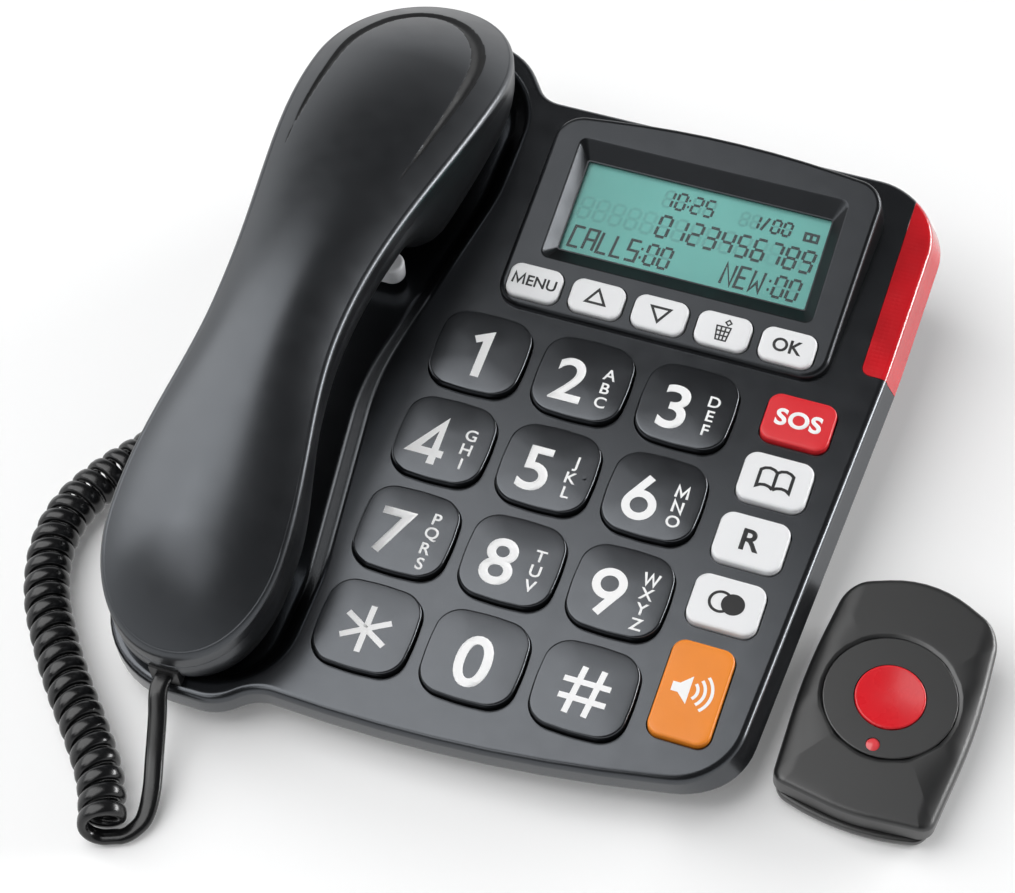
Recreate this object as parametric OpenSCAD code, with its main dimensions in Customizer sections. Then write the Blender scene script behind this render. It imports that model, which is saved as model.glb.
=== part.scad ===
// Corded desk telephone with large keys, display, curly cord and a radio SOS pendant.
// Millimetres. +Z up, +Y to the back, +X to the right, the desk is the plane z = 0.
// Deck frame: u to the right, v up the slope, w square to the key deck.

/* [Base] */
// Slope of the key deck, degrees
deck_tilt = 8; // [5:0.5:12]
// Height of the deck above the desk at the middle of the number keys
deck_rise = 23.2; // [22:0.2:30]
// Wall of the housing
wall = 2.4; // [1.8:0.1:3]
// Rounding of the rim
edge_r = 1.4; // [0.6:0.1:2]
// How far the lower housing stands back under the rim
skirt_in = 5; // [4:0.1:7]
// Depth of the handset well
well_d = 5; // [3:0.1:6]
// Width of the sloping side of the well
well_slope = 4.5; // [3:0.1:6]

/* [Keys] */
// Pitch of the number keys
key_pitch = 28.5; // [28:0.1:32]
// Width of a number key
key_w = 24.3; // [20:0.1:25]
// Depth of a number key
key_d = 23.3; // [20:0.1:24]
// How far the keys stand above the deck
key_rise = 2.85; // [2:0.05:4]
// Travel of the keys
key_travel = 1.5; // [0.8:0.1:1.8]
// Gap round a key
key_gap = 0.4; // [0.3:0.05:0.6]
// Width of a side key
side_w = 17; // [14:0.1:18]
// Depth of a side key
side_d = 15.1; // [12:0.1:16]
// Pitch of the side keys
side_pitch = 18.9; // [18.6:0.1:21]
// Depth of the loudspeaker key
talk_d = 27.4; // [24:0.1:29]
// Width of a menu key
menu_w = 14.8; // [12:0.1:15.5]
// Depth of a menu key
menu_d = 9.8; // [8:0.1:10.5]

/* [Display] */
// Width of the display housing
bezel_w = 92.3; // [90:0.1:94]
// Depth of the display housing along its slope
bezel_d = 63; // [60:0.1:66]
// Slope of the display housing on the deck, degrees
bezel_tilt = 9.6; // [7:0.1:12]
// Height of its front edge above the deck
bezel_front = 1.8; // [1.4:0.1:3]
// Width of the display window
window_w = 68.7; // [60:0.1:70]
// Depth of the display window
window_d = 27.6; // [24:0.1:29]

/* [Handset] */
// Length of the handset
handset_len = 218.5; // [214:0.5:222]
// Width at the ear end
ear_w = 53.7; // [50:0.1:55]
// Width at the grip
grip_w = 34.8; // [32:0.1:40]
// Width at the mouth end
mouth_w = 46.7; // [42:0.1:48]
// Height of the seam above the deck in the middle of the arch
arch_top = 35.4; // [33:0.2:40]
// Radius of the arch towards the ear end
ear_arch = 225; // [215:1:250]
// Radius of the arch towards the mouth end
mouth_arch = 185; // [178:1:210]
// Height of the back above the seam
back_h = 12; // [10:0.2:15]
// Height of the straight side of the back above the seam
shoulder_h = 5.4; // [4:0.1:7]
// Depth of the grip below the seam
grip_d = 13; // [11:0.2:15]
// Wall of the handset
shell_t = 2.2; // [1.6:0.1:2.6]
// Travel of the hook lever
hook_travel = 4; // [2:0.2:5]

/* [Cord] */
// Width of the flat cord along the coil
cord_w = 3.6; // [3:0.1:3.6]
// Thickness of the flat cord
cord_t = 2.7; // [2:0.1:3]
// Width of the straight lead
lead_w = 4.2; // [3:0.1:4.6]
// Outside diameter of the coil
coil_d = 12; // [10:0.1:12.6]
// Number of curls
curls = 28; // [24:1:29]

/* [Pendant] */
// Width of the pendant
pend_w = 44.8; // [40:0.2:48]
// Length of the pendant
pend_l = 69.2; // [66:0.2:76]
// Height of its near edge
pend_near = 10; // [9:0.1:13]
// Slope of its face, degrees
pend_tilt = 7.5; // [6:0.1:10]
// Turn of the pendant on the desk, degrees
pend_turn = -3.6; // [-8:0.1:0]
// Diameter of the round face plate
ring_d = 35; // [30:0.1:36]
// Diameter of the red button
button_d = 18.2; // [14:0.1:20]
// Travel of the red button
button_travel = 0.8; // [0.4:0.1:1]

/* [Hidden] */
$fn = 48;
// The rim reaches as deep as the floor of the well
band_h = well_d + wall;
// Middle of the number keys in the shared frame
grid = [-11.8, -37.8];
// Side column: its middle at v = 0 and its lean to the right
side_gap = 5.65;
side_u = key_pitch + key_w / 2 + side_gap + side_w / 2;
side_lean = 0.0465;
side_first = 48.1;
talk_v = side_first - 3.5 * side_pitch - 2.55 - talk_d / 2;
// Keypad edges
keys_v = 1.5 * key_pitch + key_d / 2;
flange = 1.2;
flange_t = 1;
seat_w = -wall - flange_t;
board_w = -wall - 5;
board_t = 1.6;
mat_t = 1;
dome_top = seat_w - key_travel - 0.4;
plunger_r = 3;
// Display housing
bezel_wall = 1.2;
menu_flange = 0.6;
bezel_v = keys_v + 6.9;
bezel_u = 14.6;
menu_u = 13.3;
// The row of menu keys fills the width of the display housing but for its ends
menu_side = 3.75;
menu_pitch = (bezel_w - menu_w - 2 * menu_side) / 4;
menu_b = 7;
window_b = 34.4;
recess_d = 3.5;
recess_rim = 3.5;
ledge = 0.8;
frame_t = 0.6;
glass_t = 0.8;
glass_n = -recess_d - frame_t;
lcd_n = glass_n - glass_t - 3.2;
menu_rise = 1.5;
side_rise = 2.4;
// Handset
axis_u = -(key_pitch + key_w / 2 + 30.35);
mid_v = 39.25;
arch_v = 29.6;
tip_v = mid_v - handset_len / 2;
end_v = mid_v + handset_len / 2;
// The ear end reaches out over the end of the well and of the housing
well_end = end_v - 6;
lobe_end = end_v - 1;
rest_w = 0.3 - well_d;
// Housing outline in the deck frame: [u, v, corner radius], counter-clockwise
right_u = side_u + side_w / 2 + 8.3;
front_v = -keys_v - 13.4;
rear_v = bezel_v + bezel_d + 7.6;
lobe_corner = [axis_u + 13.5, tip_v - 2.3];
neck = [axis_u + 21.5, tip_v + 4.9];
neck_r = 11;
bow = [4, front_v];
front_corner = [right_u - 2, front_v + 12.6];
// The front edge bows as widely as its straight part allows
bow_room = norm(bow - neck) - neck_r * tan(half_turn(lobe_corner, neck, bow)) - 0.76;
bow_r = bow_room / tan(max(0.2, half_turn(neck, bow, front_corner)));
base_line = [
  [axis_u - 23.5, tip_v - 2, 25],
  [lobe_corner[0], lobe_corner[1], 13],
  [neck[0], neck[1], neck_r],
  [bow[0], bow[1], bow_r],
  [front_corner[0], front_corner[1], 19],
  [right_u + 5.3, 72, 250],
  [right_u + 6.2, rear_v, 20],
  [axis_u + 31, rear_v, 8],
  [axis_u + 19.5, lobe_end, 20],
  [axis_u - 24, lobe_end, 27]];
// Handset well at deck level
well_line = [
  [axis_u - 21, tip_v + 2, 21],
  [axis_u + 26, tip_v + 2, 20],
  [axis_u + 26.4, tip_v + 40, 60],
  [axis_u + 18.5, arch_v + 0.4, 80],
  [axis_u + 29.5, well_end - 47, 60],
  [axis_u + 29.5, well_end, 24],
  [axis_u - 21.5, well_end, 24]];
// Lens of the call light
lens_u = right_u - 3.4;
lens_v = bezel_v + 7;
lens_gap = 0.15;
alert_w = -band_h - 0.8;
alert_l = rear_v - lens_v - 26;
// Screws, in the shared frame without the grid offset
screw_at = [[axis_u + 1, -20], [axis_u + 1, 125], [62, 118.5], [42.8, keys_v + 4.2]];
screw_r = 1.5;
head_r = 3.2;
floor_z = 2;
floor_t = 2.2;
boss_z = floor_z + 4;
foot_at = [[-76, -42], [50, -42], [-76, 106], [60, 95]];
foot_r = 6;
// Battery bay under the floor: cells of 10.5 by 44.5
cell_r = 5.1;
cell_l = 44.5;
bay = [-16, 31, 44, 48];
// Loudspeaker in the floor
talker = [38, 104];
talker_r = 20;
bay_h = 13.4;
door_t = 1.8;
// Sockets in the deck frame
line_u = 2;
line_w = -27;
cord_v = 17;
cord_w0 = -13.5;
wall_in = skirt_in + wall - 0.2;
left_u = axis_u - 23.7;
// Hook lever
hook_v = end_v - 84.8;
hook_d = 7;
hook_tip = axis_u + 13.3;
hook_top = 3.2;
// Pendant
pend_at = [96.9 + grid[0], -49.3 + grid[1]];
pend_t = 6.4;
pend_ring = 33.6;
pend_wall = 1.8;
pend_top = 2.8;
lamp_r = 1.7;
lamp_off = button_d / 2 + 4.5;
face_t = 1.4;
// Cord path: points of the coil's middle line in the shared frame without the grid offset
jack_end = deck_to([left_u + 2.2, cord_v, cord_w0]);
coil_path = [
  jack_end,
  [-96.5, 16.6, 12.1],
  [-102, 11.5, 8.6],
  [-107, 2.7, 6.2],
  [-112.6, -6.4, 6.2],
  [-116.9, -15.1, 6.2],
  [-119.2, -22.8, 6.2],
  [-119.6, -31.5, 6.2],
  [-117.6, -41.5, 6.2],
  [-112.5, -53, 6.2],
  [-104.5, -64.5, 6.2],
  [-96, -75, 6.2],
  [-87, -85, 6.2],
  [-79, -94.6, 6.2],
  [-74.4, -102.2, 6.2],
  [-71, -110, 6.2]];
plug_face = deck_to([axis_u, tip_v - 0.5, 3.3]);
plug_run = deck_dir([0, -1, 0]);

// A point of the deck frame in the shared frame, without the grid offset
function deck_to(p) = [
  p[0],
  p[1] * cos(deck_tilt) - p[2] * sin(deck_tilt),
  deck_rise + p[1] * sin(deck_tilt) + p[2] * cos(deck_tilt)];

function deck_dir(d) = deck_to(d) - deck_to([0, 0, 0]);

// Outlines with rounded corners
function unit(v) = v / norm(v);
function xy(p) = [p[0], p[1]];
function side_of(a, b) = let(e = unit(b - a)) [e[1], -e[0]];
function half_turn(a, b, c) = acos(unit(b - a) * unit(c - b)) / 2;
function turn(a, b, c) = (b - a)[0] * (c - b)[1] - (b - a)[1] * (c - b)[0];
function around(P, i) = P[(i + len(P)) % len(P)];
function inset(P, d) = [
  for (i = [0 : len(P) - 1])
    let(a = xy(around(P, i - 1)), b = xy(P[i]), c = xy(around(P, i + 1)))
    let(m = side_of(a, b), k = side_of(b, c), q = b - d * (m + k) / (1 + m * k))
    [q[0], q[1], max(0.3, P[i][2] - (turn(a, b, c) > 0 ? d : -d))]];
function arc(a, b, c, r) =
  let(p = unit(a - b), q = unit(c - b), half = acos(p * q) / 2)
  let(o = b + unit(p + q) * r / sin(half), s = b + p * r / tan(half) - o)
  let(a0 = atan2(s[1], s[0]), sweep = (180 - 2 * half) * (turn(a, b, c) > 0 ? 1 : -1))
  let(n = max(2, ceil(abs(sweep) / 15)))
  [for (j = [0 : n]) o + r * [cos(a0 + sweep * j / n), sin(a0 + sweep * j / n)]];
function rounded(P) = [
  for (i = [0 : len(P) - 1])
    each arc(xy(around(P, i - 1)), xy(P[i]), xy(around(P, i + 1)), P[i][2])];
function box_line(w, d, r) = [[-w / 2, -d / 2, r], [w / 2, -d / 2, r], [w / 2, d / 2, r], [-w / 2, d / 2, r]];
// A key with sides that swell a little
function key_line(w, d, r, swell) =
  let(x = w / 2, y = d / 2, s = swell, R = 2 * w)
  [[s - x, s - y, r], [0, -y, R], [x - s, s - y, r], [x, 0, R],
   [x - s, y - s, r], [0, y, R], [s - x, y - s, r], [-x, 0, R]];

module slab(P, w0, w1)
  translate([0, 0, w0]) linear_extrude(w1 - w0) polygon(rounded(P));

// A closed skin over rings of points that run counter-clockwise seen from the last ring
module skin(rings) {
  n = len(rings);
  m = len(rings[0]);
  mean = function (r) [for (k = [0 : 2]) [for (p = r) p[k]] * [for (p = r) 1] / len(r)];
  points = concat([for (r = rings) each r], [mean(rings[0]), mean(rings[n - 1])]);
  caps = [
    for (j = [0 : m - 1])
      each [[n * m, j, (j + 1) % m], [n * m + 1, (n - 1) * m + (j + 1) % m, (n - 1) * m + j]]];
  sides = [
    for (i = [0 : n - 2], j = [0 : m - 1])
      let(a = i * m + j, b = i * m + (j + 1) % m)
      each [[a, a + m, b + m], [a, b + m, b]]];
  polyhedron(points, concat(caps, sides));
}

module on_deck()
  translate([grid[0], grid[1], deck_rise]) rotate([deck_tilt, 0, 0]) children();

module on_bezel()
  on_deck() translate([0, bezel_v, bezel_front]) rotate([bezel_tilt, 0, 0]) children();

module on_desk()
  translate([grid[0], grid[1], 0]) children();

// Upright things inside the deck frame
module from_desk()
  rotate([-deck_tilt, 0, 0]) translate([0, 0, -deck_rise]) children();

// Housing
function ring3(P, w) = [for (p = rounded(P)) [p[0], p[1], w]];

module well_space()
  skin([
    ring3(inset(well_line, well_slope), -well_d),
    ring3(well_line, 0),
    ring3(well_line, 1)]);

module well_shell()
  intersection() {
    skin([
      ring3(inset(well_line, well_slope - wall), -band_h),
      ring3(inset(well_line, -wall), -wall / 2)]);
    slab(inset(base_line, wall / 3), -band_h - 1, 0);
  }

module key_hole(w, d, r, swell)
  slab(key_line(w + 2 * key_gap, d + 2 * key_gap, r + key_gap, swell), -wall - 1, 1);

module small_hole(w, d)
  translate([0, 0, -wall - 1]) block(w + 2 * key_gap, d + 2 * key_gap, small_r + key_gap, wall + 2);

// A plate with round corners
module block(w, d, r, h)
  linear_extrude(h) {
    square([w - 2 * r, d], center = true);
    square([w, d - 2 * r], center = true);
    for (x = [-1, 1], y = [-1, 1])
      translate([x * (w / 2 - r), y * (d / 2 - r)]) circle(r);
  }

function number_at(i) = [(i % 3 - 1) * key_pitch, (1.5 - floor(i / 3)) * key_pitch];
function side_at(v) = [side_u + side_lean * v, v];
number_r = 6.5;
number_swell = 0.7;
small_r = 3;

// Outline of the display housing in its own plane, inset by d, with its front at f
function bezel_ring(d, f, r = 7) = [
  [bezel_u - bezel_w / 2 + d, f, r - d],
  [bezel_u + bezel_w / 2 - 1 - d, f, r - d],
  [bezel_u + bezel_w / 2 + 0.4 - d, bezel_d - 3 - d, 8 - d],
  [bezel_u, bezel_d + 1.6 - d, 280],
  [bezel_u - bezel_w / 2 + 1 + d, bezel_d - 4 - d, 8 - d]];

module lens_zone(d)
  slab([
    [lens_u + d, lens_v + d, 2.4],
    [right_u + 30, lens_v + d, 2],
    [right_u + 30, rear_v + 20, 2],
    [lens_u + d, rear_v + 20, 2]], -band_h - 1, 1);

module rim_body()
  skin([
    ring3(base_line, -band_h),
    ring3(base_line, -edge_r),
    ring3(inset(base_line, 0.3 * edge_r), -0.3 * edge_r),
    ring3(inset(base_line, edge_r), 0)]);

module rim_hollow() {
  slab(inset(base_line, wall), 1.5 - band_h, -wall);
  slab(inset(base_line, wall_in + 0.3), -band_h - 1, 1.6 - band_h);
}

module top_cover()
  color("#2b2c2f") on_deck() difference() {
    union() {
      difference() {
        rim_body();
        rim_hollow();
      }
      well_shell();
      for (u = [-1, 1], v = [-1, 1])
        translate([u * key_pitch / 2, v * key_pitch, board_w]) cylinder(h = -board_w - 1, r = 1.6);
      for (v = [lens_v + 12, lens_v + alert_l])
        translate([lens_u - 3, v, alert_w]) cylinder(h = -alert_w - 1, r = 1.5);
      intersection() {
        from_desk()
          for (s = screw_at)
            translate([s[0], s[1], boss_z]) cylinder(h = 60, r = 3);
        translate([-150, -150, -80]) cube([400, 400, 79]);
      }
    }
    well_space();
    for (i = [0 : 11])
      translate(number_at(i)) key_hole(key_w, key_d, number_r, number_swell);
    for (k = [0 : 3])
      translate(side_at(side_first - k * side_pitch)) small_hole(side_w, side_d);
    translate(side_at(talk_v)) small_hole(side_w, talk_d);
    lens_zone(-lens_gap);
    translate([axis_u - 3.4, hook_v - 3, -band_h - 1]) cube([6.8, 6, wall + 2]);
    translate([0, bezel_v, bezel_front]) rotate([bezel_tilt, 0, 0])
      slab(bezel_ring(bezel_wall + 0.2, 0.9, 5.4), -30, 10);
    from_desk()
      for (s = screw_at)
        translate([s[0], s[1], boss_z - 1]) cylinder(h = 6, r = screw_r + 0.05);
  }

module bottom_cover()
  color("#232427") difference() {
    union() {
      intersection() {
        on_deck() difference() {
          slab(inset(base_line, skirt_in), -90, -band_h);
          slab(inset(base_line, wall_in), -91, 0);
        }
        on_desk() translate([-150, -150, floor_z]) cube([400, 400, 60]);
      }
      intersection() {
        on_deck() slab(inset(base_line, skirt_in), -90, -band_h);
        on_desk() translate([-150, -150, floor_z]) cube([400, 400, floor_t]);
      }
      on_desk() {
        for (s = screw_at)
          translate([s[0], s[1], floor_z]) cylinder(h = boss_z - floor_z, r = 5);
        translate([bay[0] - 2, bay[1] - 2, floor_z]) cube([bay[2] + 4, bay[3] + 4, bay_h + 1.6]);
        translate([talker[0], talker[1], floor_z]) cylinder(h = 4, r = talker_r + 3);
      }
    }
    on_desk() {
      for (s = screw_at)
        translate([s[0], s[1], 0]) {
          cylinder(h = 4, r = head_r + 0.4);
          cylinder(h = 10, r = screw_r + 0.3);
        }
      for (f = foot_at)
        translate([f[0], f[1], 0]) cylinder(h = 2.5, r = foot_r + 0.1);
      translate([bay[0], bay[1], 0]) cube([bay[2], bay[3], floor_z + bay_h]);
      translate([talker[0], talker[1], floor_z + 2]) cylinder(h = 5, r = talker_r + 0.3);
      for (k = [-2 : 2])
        translate([talker[0] - 10, talker[1] + 6 * k - 1, 0]) cube([20, 2, 10]);
    }
    on_deck() {
      translate([line_u - 5, rear_v - 20, line_w - 3.4]) cube([10, 30, 6.8]);
      translate([left_u - 10, cord_v - 4, cord_w0 - 3.4]) cube([24, 8, 6.8]);
    }
  }

module rubber_feet()
  color("#161616") on_desk()
    for (f = foot_at)
      translate([f[0], f[1], 0]) cylinder(h = 2.5, r = foot_r);

module case_screws()
  color("#8c8f93") on_desk()
    for (s = screw_at)
      translate([s[0], s[1], floor_z + 0.3]) difference() {
        union() {
          cylinder(h = 1.7, r = head_r);
          cylinder(h = 8, r = screw_r);
        }
        translate([-2.2, -0.4, -1]) cube([4.4, 0.8, 1.8]);
        translate([-0.4, -2.2, -1]) cube([0.8, 4.4, 1.8]);
      }

module battery_door()
  color("#232427") on_desk() difference() {
    translate([bay[0] + 0.2, bay[1] + 0.2, floor_z]) cube([bay[2] - 0.4, bay[3] - 0.4, door_t]);
    for (k = [0 : 3])
      translate([bay[0] + bay[2] / 2 - 8, bay[1] + 5 + 2 * k, floor_z - 1]) cube([16, 1, 1.5]);
  }

module battery_cells()
  color("#7d8a55") on_desk()
    for (k = [0 : 3])
      translate([bay[0] + 6.1 + 10.6 * k, bay[1] + 1.5, floor_z + door_t + cell_r + 0.3])
      rotate([-90, 0, 0]) {
        cylinder(h = cell_l, r = cell_r);
        cylinder(h = cell_l + 0.8, r = 1.9);
      }

module loudspeaker()
  color("#3d3d3f") on_desk() translate([talker[0], talker[1], floor_z + 2]) {
    difference() {
      cylinder(h = 4, r = talker_r);
      translate([0, 0, -1]) cylinder(h = 3.5, r = talker_r - 4);
    }
    translate([0, 0, 4]) cylinder(h = 5, r = 12);
  }

// Boards and mats under the keys
module board_zone(d)
  intersection() {
    slab(inset(base_line, wall_in + d), -60, 0);
    translate([axis_u + 27.6 + d, front_v, -60]) cube([160, keys_v - 0.5 - front_v, 60]);
  }

module main_board()
  color("#1f5a35") on_deck() intersection() {
    board_zone(0.5);
    translate([-150, -150, board_w - board_t]) cube([300, 300, board_t]);
  }

module key_mat()
  color("#8a8c8f") on_deck() difference() {
    union() {
      intersection() {
        board_zone(0.8);
        translate([-150, -150, board_w]) cube([300, 300, mat_t]);
      }
      for (i = [0 : 11])
        translate(number_at(i)) dome();
      for (k = [0 : 3])
        translate(side_at(side_first - k * side_pitch)) dome();
      translate(side_at(talk_v)) dome();
    }
    for (i = [0 : 11])
      translate(number_at(i)) dome_hole();
    for (k = [0 : 3])
      translate(side_at(side_first - k * side_pitch)) dome_hole();
    translate(side_at(talk_v)) dome_hole();
    for (u = [-1, 1], v = [-1, 1])
      translate([u * key_pitch / 2, v * key_pitch, board_w - 1]) cylinder(h = 5, r = 2.2);
  }

module dome()
  translate([0, 0, board_w]) cylinder(h = dome_top - board_w, r = plunger_r + 2);

module dome_hole()
  translate([0, 0, board_w - 1]) cylinder(h = dome_top - board_w + 2, r = plunger_r + 0.5);

// Keys
module key_stem()
  translate([0, 0, board_w + key_travel + 0.3]) cylinder(h = seat_w - board_w - key_travel, r = plunger_r);

module big_key() {
  P = key_line(key_w, key_d, number_r, number_swell);
  slab(P, seat_w, key_rise - 0.9);
  slab(inset(P, 0.3), key_rise - 1, key_rise - 0.3);
  slab(inset(P, 0.9), key_rise - 0.4, key_rise);
  slab(key_line(key_w + 2 * flange, key_d + 2 * flange, number_r + flange, number_swell), seat_w, -wall);
  key_stem();
}

module small_key(w, d, rise, edge) {
  translate([0, 0, seat_w]) block(w, d, small_r, rise - 0.6 - seat_w);
  translate([0, 0, rise - 0.7]) block(w - 0.4, d - 0.4, small_r - 0.2, 0.5);
  translate([0, 0, rise - 0.3]) block(w - 1.2, d - 1.2, small_r - 0.6, 0.3);
  translate([0, 0, seat_w]) block(w + 2 * edge, d + 2 * edge, small_r + edge, flange_t);
  key_stem();
}

module number_key(i)
  color("#34363a") on_deck() translate(number_at(i)) big_key();

module side_key(k, c)
  color(c) on_deck() translate(side_at(side_first - k * side_pitch))
    small_key(side_w, side_d, side_rise, flange);

module menu_key(k)
  color("#e8e8ea") on_bezel() translate([menu_u + (k - 2) * menu_pitch, menu_b, 0])
    small_key(menu_w, menu_d, menu_rise, menu_flange);

module key_1() number_key(0);
module key_2() number_key(1);
module key_3() number_key(2);
module key_4() number_key(3);
module key_5() number_key(4);
module key_6() number_key(5);
module key_7() number_key(6);
module key_8() number_key(7);
module key_9() number_key(8);
module key_star() number_key(9);
module key_0() number_key(10);
module key_hash() number_key(11);
module key_menu() menu_key(0);
module key_up() menu_key(1);
module key_down() menu_key(2);
module key_delete() menu_key(3);
module key_ok() menu_key(4);
module key_sos() side_key(0, "#d8232a");
module key_phonebook() side_key(1, "#e8e8ea");
module key_recall() side_key(2, "#e8e8ea");
module key_redial() side_key(3, "#e8e8ea");
module key_speaker()
  color("#e88b25") on_deck() translate(side_at(talk_v)) small_key(side_w, talk_d, side_rise, flange);

// Display
module frustum(w0, d0, w1, d1, z0, z1)
  skin([
    [for (s = [[-1, -1], [1, -1], [1, 1], [-1, 1]]) [s[0] * w0 / 2, s[1] * d0 / 2, z0]],
    [for (s = [[-1, -1], [1, -1], [1, 1], [-1, 1]]) [s[0] * w1 / 2, s[1] * d1 / 2, z1]]]);

module bezel_body()
  intersection() {
    on_bezel() skin([
      ring3(bezel_ring(0, 0), -16),
      ring3(bezel_ring(0, 0), -edge_r),
      ring3(bezel_ring(0.3 * edge_r, 0.3 * edge_r), -0.3 * edge_r),
      ring3(bezel_ring(edge_r, edge_r), 0)]);
    on_deck() translate([-60, 0, 0]) cube([200, 200, 40]);
  }

// Tongue of the housing in the opening of the deck
module bezel_lip(d0, w0, w1)
  intersection() {
    on_bezel() difference() {
      slab(bezel_ring(d0, 0), -16, -wall / 2);
      slab(bezel_ring(2 * bezel_wall + 0.4, -5), -17, 0);
    }
    on_deck() translate([-60, bezel_v + 24, w0]) cube([200, 200, w1 - w0]);
  }

module display_bezel()
  color("#37393d") difference() {
    union() {
      difference() {
        bezel_body();
        on_bezel() slab(bezel_ring(bezel_wall, -5), -30, -wall);
      }
      bezel_lip(bezel_wall - 0.4, 0.4, 2.5);
      bezel_lip(bezel_wall + 0.4, -wall, 1.5);
      on_bezel() {
        translate([bezel_u - window_w / 2 - 5, window_b - window_d / 2 - 5, glass_n])
          cube([window_w + 10, window_d + 10, -glass_n - wall / 2]);
        for (u = [-1, 1], b = [bezel_d - 9, window_b - window_d / 2])
          translate([bezel_u + u * (window_w / 2 + 6), b, lcd_n]) cylinder(h = -lcd_n - 1, r = 2);
      }
    }
    on_bezel() translate([bezel_u, window_b, 0]) {
      frustum(
        window_w + ledge, window_d + ledge,
        window_w + 2 * recess_rim, window_d + 3 * recess_rim, -recess_d, 0.2);
      translate([-window_w / 2, -window_d / 2, -recess_d - 10])
        cube([window_w, window_d, 10 + recess_d / 2]);
    }
    on_bezel()
      for (k = [-2 : 2])
        translate([menu_u + k * menu_pitch, menu_b, 0]) small_hole(menu_w, menu_d);
  }

module display_window()
  color("#a9c8c6", 0.4) on_bezel() translate([bezel_u, window_b, glass_n - glass_t])
    translate([-window_w / 2 - 3, -window_d / 2 - 3, 0]) cube([window_w + 6, window_d + 6, glass_t]);

module lcd_panel()
  color("#6db3ab") on_bezel()
    translate([bezel_u - window_w / 2 - 3, window_b - window_d / 2 - 3, lcd_n])
      cube([window_w + 6, window_d + 6, glass_n - glass_t - lcd_n]);

module display_board()
  color("#1f5a35") on_bezel() slab(bezel_ring(2 * bezel_wall + 0.9, 1.6), lcd_n - board_t, lcd_n);

module menu_mat()
  color("#8a8c8f") on_bezel() translate([menu_u, menu_b, lcd_n]) difference() {
    union() {
      translate([-2.5 * menu_pitch + 4, -3.6, 0]) cube([5 * menu_pitch - 8, 8.4, mat_t]);
      for (k = [-2 : 2])
        translate([k * menu_pitch, 0, 0]) cylinder(h = dome_top - board_w, r = plunger_r + 1.2);
    }
    for (k = [-2 : 2])
      translate([k * menu_pitch, 0, -1]) cylinder(h = 20, r = plunger_r + 0.4);
  }

// Light that flashes on a call
module alert_lens()
  color("#c8141e", 0.8) on_deck() intersection() {
    difference() {
      rim_body();
      slab(inset(base_line, wall), -band_h - 1, -wall);
    }
    lens_zone(0);
  }

module alert_board()
  color("#1f5a35") on_deck() {
    translate([lens_u - 6, lens_v + 5, alert_w - 1.2]) cube([7.2, alert_l, 1.2]);
    for (k = [0 : 4])
      translate([lens_u, lens_v + 8 + (alert_l - 7.6) / 4 * k, alert_w - 0.2]) cylinder(h = 4.2, r = 1.1);
  }

// Hook and sockets
module hook_lever()
  color("#c9cacc") on_deck() {
    translate([axis_u - 3, hook_v - hook_d / 2, hook_top - 5.5])
      cube([hook_tip - axis_u + 3 - hook_d / 2, hook_d, 5.5]);
    translate([hook_tip - hook_d / 2, hook_v, hook_top - 5.5]) cylinder(h = 5.5, r = hook_d / 2);
    translate([axis_u - 3, hook_v - 2.6, -9 - hook_travel]) cube([6, 5.2, 9 + hook_travel]);
  }

module hook_switch()
  color("#1c1c1e") on_deck() difference() {
    translate([axis_u + 3.6, hook_v - 5, -well_d - wall - 6.4]) cube([12, 10, 6.4]);
    translate([axis_u + 9.6, hook_v - 6, -well_d - wall - 4]) cube([1, 20, 1]);
  }

module line_jack()
  color("#d9d6cc") on_deck() difference() {
    translate([line_u - 7, rear_v - wall_in - 14, line_w - 6]) cube([14, 14, 12]);
    translate([line_u - 4.9, rear_v - wall_in - 10, line_w - 3.3]) cube([9.8, 20, 6.6]);
  }

module handset_jack()
  color("#d9d6cc") on_deck() difference() {
    translate([left_u + wall_in, cord_v - 6, cord_w0 - 5]) cube([13, 12, 9.6]);
    translate([left_u, cord_v - 3.9, cord_w0 - 3.3]) cube([wall_in + 10, 7.8, 6.6]);
  }

module base_plug()
  color("#26272a") on_deck()
    translate([left_u + 2.2, cord_v - 3.8, cord_w0 - 3.2]) cube([wall_in + 7, 7.6, 6.4]);

// Handset
function smooth(t) = let(x = min(1, max(0, t))) x * x * (3 - 2 * x);
function swing(a, b, t) = a + (b - a) * (1 - cos(180 * min(1, max(0, t)))) / 2;
function round_off(e, n) = pow(1 - pow(min(0.985, max(0, e)), n), 1 / n);
// Length of the round ends, and where the grip is narrowest
mouth_run = 28.7;
ear_run = 39.5;
mouth_at = tip_v + mouth_run;
grip_at = tip_v + 0.394 * handset_len;
ear_at = end_v - ear_run;
function half_w(v) =
  v < grip_at ? swing(mouth_w, grip_w, (v - mouth_at) / (grip_at - mouth_at)) / 2
    * round_off((mouth_at - v) / mouth_run, 2.1)
  : swing(grip_w, ear_w, (v - grip_at) / (ear_at - grip_at)) / 2 * round_off((v - ear_at) / ear_run, 2);
// The arch stretches with the handset
stretch = handset_len / 218.5;
function seam(v) =
  arch_top - pow((v - arch_v) / stretch, 2) / (2 * (v < arch_v ? mouth_arch : ear_arch));
function tip_off(v, reach, n) = round_off(max(tip_v + reach - v, v - end_v + reach) / reach, n);
// The back: a straight side, a round shoulder and a dome
shoulder_r = 1.8;
function dome_h(v) = (back_h - shoulder_h) * tip_off(v, 32, 2);
function cup(v) = max(smooth((v - ear_at + 57) / 26), smooth((mouth_at + 35.3 - v) / 24));
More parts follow.
